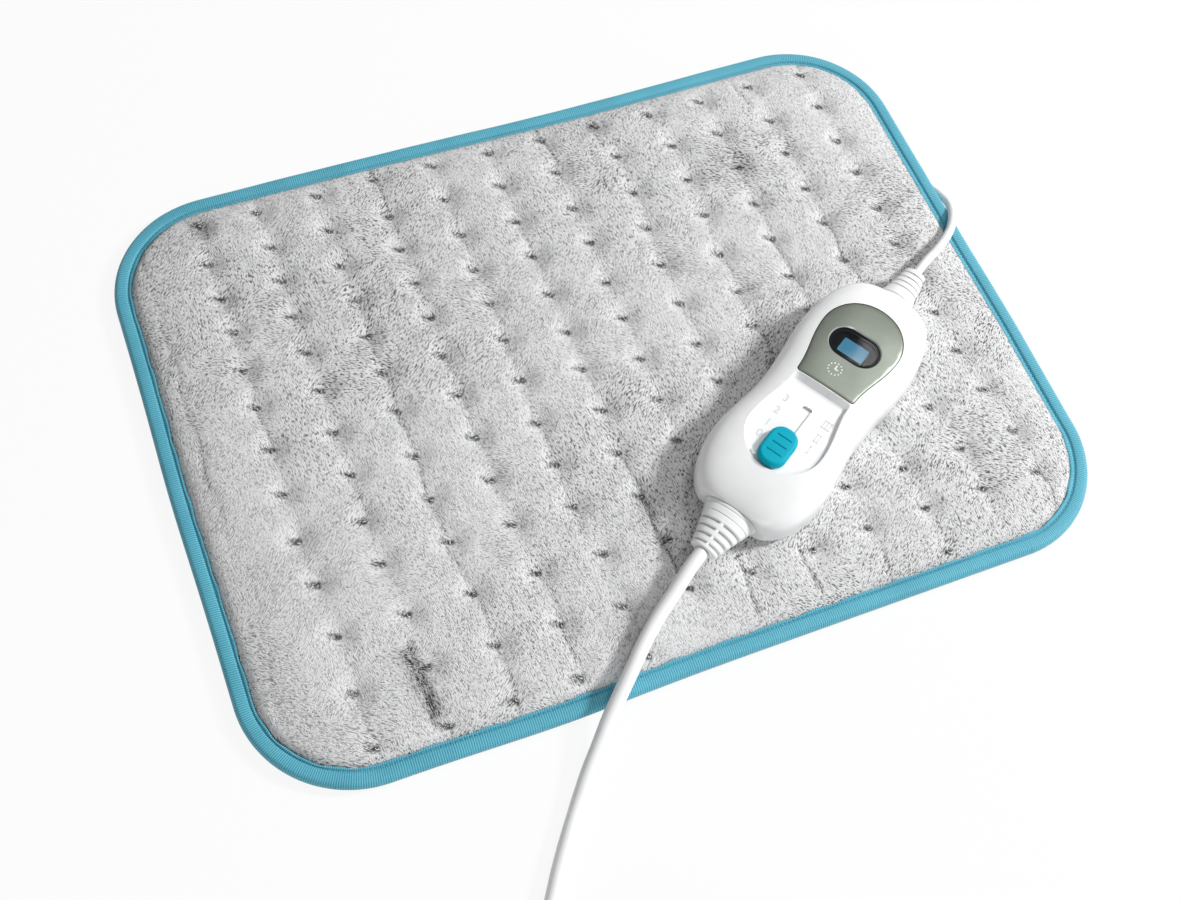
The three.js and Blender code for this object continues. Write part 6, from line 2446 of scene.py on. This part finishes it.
@dataclass
class Coil:
    """The put away part of the mains lead: a flat spiral inwards and one outwards on top of it."""

    middle: Triple = (-91.2, -284.2, 4.2)
    inner_radius: float = 27.0
    pitch: float = 7.3
    turns: float = 6.0 + 124.0 / 360.0
    start_angle: float = 146.0
    straight: float = 6.6
    steps_per_turn: int = 96

    @property
    def outer_radius(self) -> float:
        """Radius of the spiral's outermost turn."""
        return self.inner_radius + self.pitch * self.turns / 2

    def path(self) -> Points:
        """Points along the coil, with a short straight piece at each end.

        Returns:
            Points of shape (count, 3).
        """
        turn = np.linspace(0.0, self.turns, round(self.turns * self.steps_per_turn))
        from_middle = turn - self.turns / 2
        radius = self.inner_radius + self.pitch * np.abs(from_middle)
        climb = self.pitch * smoothstep(from_middle, -0.25, 0.25)
        angle = math.radians(self.start_angle) + 2 * math.pi * turn
        spiral = np.stack([radius * np.cos(angle), radius * np.sin(angle), climb], axis=1)
        spiral = spiral + self.middle
        before = spiral[0] - self.straight * self.unit(spiral[1] - spiral[0])
        after = spiral[-1] + self.straight * self.unit(spiral[-1] - spiral[-2])
        return np.vstack([before, spiral, after])

    @staticmethod
    def unit(vector: Points) -> Points:
        """A vector of length 1."""
        return vector / np.linalg.norm(vector)


def lay_cord(
    name: str, path: Points, diameter: float, sides: int, look: Material, nodes: Sequence[str], **facts: Any
) -> None:
    """Args:
        name: Name of the piece.
        path: Points along its middle.
        diameter: Its thickness.
        sides: Number of points round it.
        look: Its material.
        nodes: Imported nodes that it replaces.
    """
    piece = new_piece(name, *tube(path, diameter / 2, sides), look)
    sharpen(piece, 60.0)
    hand_over(piece, "cord", *nodes)
    length = travel_along(path)[-1]
    sizes = {"length": length * MM, "diameter": diameter * MM}
    path[0] * MM
    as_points(path * MM)
    log.info("%s: %.0f mm long", name, length)


@dataclass
class PadCord:
    """The limp white cord from the controller to the pad's edge."""

    form: Controller
    diameter: float = 4.3
    boot_tip: float = 91.75
    sides: int = 28
    from_edge: tuple[Triple, ...] = (
        (-25.2, 2.4, 17.6),
        (-19.2, 6.3, 16.0),
        (-13.2, 10.8, 13.8),
        (-7.4, 16.1, 11.4),
        (-2.2, 22.6, 8.8),
        (1.4, 29.0, 6.2),
        (3.0, 33.4, 4.4),
        (3.3, 37.4, 3.3),
        (2.5, 41.6, 3.0),
        (0.9, 45.6, 3.0),
        (-2.3, 48.8, 3.3),
        (-7.3, 50.0, 3.5),
        (-10.0, 50.0, 3.5),
    )
    pad_half: float = 200.0
    spacing: float = 1.2

    def build(self) -> None:
        """Makes the cord along its lay."""
        exits = [(self.boot_tip + 0.3, 0.0, self.form.boot_axis), (self.boot_tip + 9.0, 0.0, 7.7)]
        start = self.form.to_pad(np.array(exits))
        lay = np.array(self.from_edge) + (self.pad_half, 0.0, 0.0)
        path = smooth_route(np.vstack([start, lay]), self.spacing)
        facts = {"far_end": "object", "stiffness": "limp"}
        size = self.diameter, self.sides
        lay_cord("pad_cord_sheath", path, *size, Look.CORD.material, ["pad_cord"], **facts)


@dataclass
class MainsLead:
    """The white mains lead from the controller over the pad's edge, through the coil to the plug."""

    form: Controller
    coil: Coil
    diameter: float = 6.6
    boot_tip: float = -90.75
    sides: int = 18
    beside_controller: tuple[Triple, ...] = (
        (-95.4, -61.7, 17.2),
        (-105.2, -68.8, 15.9),
        (-114.4, -76.6, 15.1),
        (-122.8, -84.8, 14.5),
        (-130.8, -92.4, 12.9),
        (-138.6, -99.9, 10.3),
        (-147.0, -109.0, 7.2),
        (-155.6, -118.4, 4.8),
        (-163.4, -128.0, 3.6),
        (-171.2, -138.0, 3.5),
        (-178.6, -148.0, 3.5),
        (-185.6, -158.4, 3.6),
        (-192.2, -168.2, 3.9),
        (-198.6, -177.7, 4.1),
    )
    beside_coil: tuple[Triple, ...] = (
        (16.7, -50.0, 10.6),
        (27.2, -49.0, 8.0),
        (37.2, -47.0, 5.6),
        (47.2, -44.4, 4.6),
        (56.2, -42.0, 5.2),
        (64.2, -40.6, 6.6),
        (70.9, -40.2, 7.0),
    )
    spacing: float = 2.0

    def path(self) -> Points:
        """Points along the whole lead.

        Returns:
            Points of shape (count, 3).
        """
        exits = [(self.boot_tip - 0.3, 0.0, self.form.boot_axis), (self.boot_tip - 9.0, 0.0, 7.6)]
        start = self.form.to_pad(np.array(exits))
        lay = np.array(self.beside_controller) + (*self.form.place[:2], 0.0)
        coiled = self.coil.path()
        ahead = self.coil.unit(coiled[1] - coiled[0])
        into_coil = [coiled[0] - 8.0 * ahead, coiled[0]]
        first = smooth_route(np.vstack([start, lay, into_coil]), self.spacing)
        tail = np.array(self.beside_coil) + (*self.coil.middle[:2], 0.0)
        last = smooth_route(np.vstack([coiled[-1], tail]), self.spacing)
        return np.vstack([first[:-1], coiled, last[1:]])

    def build(self, on_it: Sequence[Piece]) -> None:
        """Makes the lead as one tube.

        Args:
            on_it: The pieces on the lead: its tie and its plug.
        """
        facts = {"far_end": "plug", "stiffness": "medium", "lay": "coiled", "with_pieces": on_it}
        nodes = ["mains_cord", "mains_coil", "mains_tail"]
        size = self.diameter, self.sides
        lay_cord("mains_lead", self.path(), *size, Look.CORD.material, nodes, **facts)


@dataclass
class CoilTie:
    """The band that holds the coil together."""

    coil: Coil
    cord: float = 6.6
    gap: float = 0.3
    width: float = 10.0
    thickness: float = 0.6
    corner: float = 2.0
    angle: float = 20.0

    def build(self) -> Piece:
        """Makes the band with a rib along each edge.

        Returns:
            The band.
        """
        reach = self.cord / 2 + self.gap
        inner, outer = self.coil.inner_radius - reach, self.coil.outer_radius + reach
        low = self.coil.middle[2] - reach
        high = self.coil.middle[2] + self.coil.pitch + reach
        middle = np.array([(inner + outer) / 2, (low + high) / 2])
        half = ((-0.5, 0.0), (-0.5, 0.9), (-0.44, 1.0), (-0.38, 1.0), (-0.34, 0.7))
        rings = []
        for across, share in half + tuple((-across, share) for across, share in half[::-1]):
            grown = self.thickness * share
            size = (outer - inner + 2 * grown, high - low + 2 * grown)
            loop = rounded_rectangle(*size, self.corner + grown, 8) + middle
            side = np.full(len(loop), across * self.width)
            rings.append(np.column_stack([loop[:, 0], side, loop[:, 1]]))
        points, faces = loft(rings, Ends.JOINED)
        points = turned(points, self.angle) + (*self.coil.middle[:2], 0.0)
        piece = new_piece("lead_tie", points, faces, Look.BLACK.material)
        return close_up(piece, "black", "coil_tie")


@dataclass
class Plug:
    """The flat two-pin plug, with a soft edged body, its ribbed boot and round pins with sleeves."""

    boot_tip: float = -20.0
    axis_y: float = -324.4
    axis_z: float = 7.0
    boot_length: float = 24.0
    body_length: float = 33.7
    width: float = 35.0
    height: float = 14.0
    neck: float = 14.0
    shoulder: float = 20.0
    neck_pull: float = 8.0
    edge: float = 2.2
    pin_radius: float = 2.0
    pin_span: float = 18.6
    pin_ends: Pair = (32.0, 57.0)
    pin_tip: float = 2.0
    sleeve_end: float = 47.0
    bare_share: float = 0.93
    back_corner: float = 4.0
    gap: float = 0.3
    boot_radii: Pair = (4.5, 6.0)
    groove_pitch: float = 6.0
    groove_place: float = 4.9
    groove_depth: float = 0.9

    def body(self) -> Piece:
        """Makes the body in layers whose edges are rounded.

        Returns:
            The body.
        """
        start = self.boot_tip + self.boot_length + self.gap
        shoulder = start - self.gap + self.shoulder
        end = start + self.body_length - self.gap
        rings = []
        for angle in np.linspace(-math.pi / 2, math.pi / 2, 15):
            inset = self.edge * (1 - math.cos(angle))
            level = self.axis_z + (self.height / 2) * math.sin(angle)
            neck, half = self.neck / 2 - inset * 0.6, self.width / 2 - inset
            neck_pull = (start + self.neck_pull, -neck)
            side_pull = (shoulder - self.neck_pull, -half)
            side = bezier([(start + inset * 0.3, -neck), neck_pull, side_pull, (shoulder, -half)])
            corner = self.back_corner
            back = arc((end - inset - corner, -half + corner), corner, -90.0, 0.0, 10)
            low = np.vstack([side, back])
            loop = even_steps(np.vstack([low, low[::-1] * (1.0, -1.0)]), 160, closed=True)
            rings.append(at_level(loop + (0.0, self.axis_y), level))
        piece = new_piece("plug_shell", *loft(rings), Look.GLOSS_WHITE.material)
        return close_up(piece, "gloss_white", "plug_body", crisp=50.0)

    def boot(self) -> Piece:
        """Makes the boot with four grooves.

        Returns:
            The boot.
        """
        around = round_angles(48)
        low, high = self.boot_radii
        rings, hollows = [], []
        for travel in np.arange(0.0, self.boot_length + 0.01, 0.25):
            radius = low + (high - low) * travel / self.boot_length
            from_groove = abs(travel % self.groove_pitch - self.groove_place)
            cut = self.groove_depth * (1 - smoothstep(from_groove, 0.45, 0.8))
            radii = radius - cut, radius - cut
            middle = self.axis_y, self.axis_z
            rings.append(ring_across(self.boot_tip + travel, middle, radii, around))
            hollows.append(np.full(len(around), cut))
        piece = new_piece("plug_sleeve", *loft(rings), Look.BOOT.material)
        # Painted shade in the grooves, by their depth.
        add_attribute(piece, "hollow", np.concatenate(hollows))
        outward(piece)
        return hand_over(piece, "gloss_white", "plug_boot")

    def pin(self, side: int) -> Piece:
        """Makes one pin with an insulating sleeve near the body and a round tip.

        Args:
            side: -1 for the first pin, 1 for the second.

        Returns:
            The pin.
        """
        start, end = self.pin_ends
        tip, bare = end - self.pin_tip, self.bare_share
        stations = [(start, 1.0), (self.sleeve_end, 1.0), (self.sleeve_end + 0.1, bare), (tip, bare)]
        for angle in (0.5, 0.9, 1.2, 1.45):
            share = bare * math.cos(angle) ** 0.7 + 0.02
            stations.append((tip + self.pin_tip * math.sin(angle), share))
        around = round_angles(28)
        middle = self.axis_y + side * self.pin_span / 2, self.axis_z
        rings = []
        for x, share in stations:
            radii = self.pin_radius * share, self.pin_radius * share
            rings.append(ring_across(x, middle, radii, around))
        name = f"pin_{1 if side < 0 else 2}"
        piece = new_piece(name, *loft(rings), Look.METAL.material, Look.BLACK.material)
        for face in piece.data.polygons:
            face.material_index = int(face.center.x < self.sleeve_end * MM)
        return close_up(piece, "metal", f"plug_{name}")


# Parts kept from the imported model


def dress_inner_parts() -> None:
    """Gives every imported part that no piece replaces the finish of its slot."""
    for part in frame["record"]["subparts"]:
        node = frame["nodes"][part["node"]]
        if node.hide_render:
            continue
        look = Look[part["material_slot"].upper()].material
        node.data.materials.clear()
        node.data.materials.append(look)
        log.info("%s keeps its packed shape in %s", node.name, look.name)


# Camera, light and floor


@dataclass
class Stage:
    """The camera of the photo, its soft light and a white floor with a faint shadow."""

    camera_place: Triple = (-175.53, -304.45, 600.02)
    ahead: Triple = (0.23261497, 0.39796361, -0.88742056)
    right: Triple = (0.92804168, -0.3637535, 0.08013758)
    down: Triple = (-0.29091049, -0.84220447, -0.45394132)
    lens: float = 45.41
    sensor: float = 36.0
    floor_size: float = 40000.0
    floor_level: float = -0.2
    sky: float = 0.21
    floor_white: float = 0.82
    floor_glow: float = 0.9

    def camera(self) -> None:
        """Sets the camera to the view that the photo was solved for."""
        data = bpy.data.cameras.new("photo_camera")
        data.lens = self.lens
        data.sensor_width = self.sensor
        data.clip_start, data.clip_end = 0.01, 50.0
        camera = bpy.data.objects.new("photo_camera", data)
        up, back = -np.array(self.down), -np.array(self.ahead)
        turn = Matrix((self.right, up, back)).transposed()
        camera.matrix_world = Matrix.Translation(Vector(self.camera_place) * MM) @ turn.to_4x4()
        bpy.context.scene.collection.objects.link(camera)
        bpy.context.scene.camera = camera

    def lamp(self, name: str, place: Triple, aim: Triple, size: float, watts: float) -> Piece:
        """Adds a soft square lamp that is aimed at a place.

        Args:
            name: Name of the lamp.
            place: Its place, in metres.
            aim: The place that it faces, in metres.
            size: Length of its sides, in metres.
            watts: Its power.

        Returns:
            The lamp.
        """
        data = bpy.data.lights.new(name, "AREA")
        data.size = size
        data.energy = watts
        lamp = bpy.data.objects.new(name, data)
        lamp.location = place
        lamp.rotation_euler = (Vector(aim) - Vector(place)).to_track_quat("-Z", "Y").to_euler()
        bpy.context.scene.collection.objects.link(lamp)
        return lamp

    def world(self) -> None:
        """Lights everything evenly from all around."""
        world = bpy.data.worlds.new("studio")
        world.use_nodes = True
        background = world.node_tree.nodes["Background"]
        background.inputs["Color"].default_value = (1.0, 1.0, 1.0, 1.0)
        background.inputs["Strength"].default_value = self.sky
        bpy.context.scene.world = world

    def floor(self) -> Piece:
        """Lays a white floor, lit of its own for the camera and for mirrored views.

        Returns:
            The floor.
        """
        half = self.floor_size / 2
        corners = np.array([(-half, -half), (half, -half), (half, half), (-half, half)])
        look = Finish("floor")
        rays = look.node("LightPath")
        kinds = ("Is Camera Ray", "Is Glossy Ray", "Is Transmission Ray")
        camera, glossy, through = (Amount(look, rays.outputs[kind]) for kind in kinds)
        white = (camera + glossy + through).step(0.0, 1.0, 0.0, self.floor_glow)
        shade = self.floor_white
        glow = look.node("Emission", inputs={"Color": (1.0, 1.0, 1.0, 1.0), "Strength": 1.0})
        shaders = {1: look.shader.outputs[0], 2: glow.outputs[0]}
        both = look.node("MixShader", inputs={0: white, **shaders})
        output = next(node for node in look.tree.nodes if node.bl_idname == "ShaderNodeOutputMaterial")
        look.put(output.inputs["Surface"], both.outputs[0])
        look.surface(base_color=(shade, shade, shade), roughness=0.9)
        return new_piece("floor", at_level(corners, self.floor_level), [(0, 1, 2, 3)], look.material)

    def build(self) -> None:
        """Makes the lamps, the sky and the floor."""
        key = self.lamp("key", (1.63, -0.3, 1.25), (0.05, -0.03, 0.0), 0.32, 41.0)
        fill = self.lamp("fill", (0.97, 0.41, 1.41), (0.1, -0.04, 0.03), 0.52, 6.3)
        front = self.lamp("front", (-0.45, -0.75, 0.5), (0.07, -0.06, 0.02), 0.6, 2.2)
        self.world()
        self.floor()
        bpy.context.scene.view_settings.view_transform = "Standard"


# The whole object


def boots(form: Controller) -> list[Boot]:
    """The two cord boots; each groove has its place, width and depth.

    Args:
        form: The controller.

    Returns:
        The mains boot and the pad boot.
    """
    mains_grooves = [(at, 1.2, 1.0) for at in (9.0, 12.6, 16.2)]
    pad_grooves = [(at, 0.8, 0.65) for at in (8.6, 12.0, 15.4, 18.8)]
    mains = Boot(
        form,
        name="mains_boot",
        node="mains_strain_relief",
        end=form.low_end,
        way=-1.0,
        length=22.0,
        width=27.0,
        height=15.0,
        tip=12.6,
        cord=6.6,
        grooves=((1.9, 0.5, 0.3), (5.2, 0.6, 0.35), *mains_grooves, (19.6, 1.1, 0.9)),
        bridge=0.12,
    )
    pad = Boot(
        form,
        name="pad_boot",
        node="pad_strain_relief",
        end=form.high_end,
        way=1.0,
        length=22.0,
        width=20.0,
        height=13.0,
        tip=10.4,
        cord=4.3,
        grooves=((2.4, 0.6, 0.5), *pad_grooves),
        hollowness=0.62,
    )
    return [mains, pad]


def main() -> None:
    """Builds every piece in order."""
    logging.basicConfig(level=logging.INFO, format="%(name)s: %(message)s")
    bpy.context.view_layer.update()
    stage = Stage()
    stage.camera()
    shape, form, coil = PadShape(), Controller(), Coil()
    plug = Plug()
    on_lead = [CoilTie(coil).build(), plug.body(), plug.boot()]
    on_lead += [plug.pin(side) for side in (-1, 1)]
    MainsLead(form, coil).build(on_lead)
    PadCord(form).build()
    cover = QuiltedCover(shape)
    top = cover.build()
    FibrePile(cover).build(top)
    TuftKnots(cover).build()
    BottomCover(shape).build()
    binding = Binding(shape)
    binding.build()
    binding.stitches()
    UpperHousing(form).build()
    LowerHousing(form).build()
    fascia = Fascia(form)
    fascia.build()
    fascia.clock()
    display = Display(form)
    display.module()
    display.lens()
    SlideKnob(form).build()
    PanelMarks(form).build()
    for boot in boots(form):
        boot.build()
    dress_inner_parts()
    stage.build()


if __name__ == "__main__":
    main()
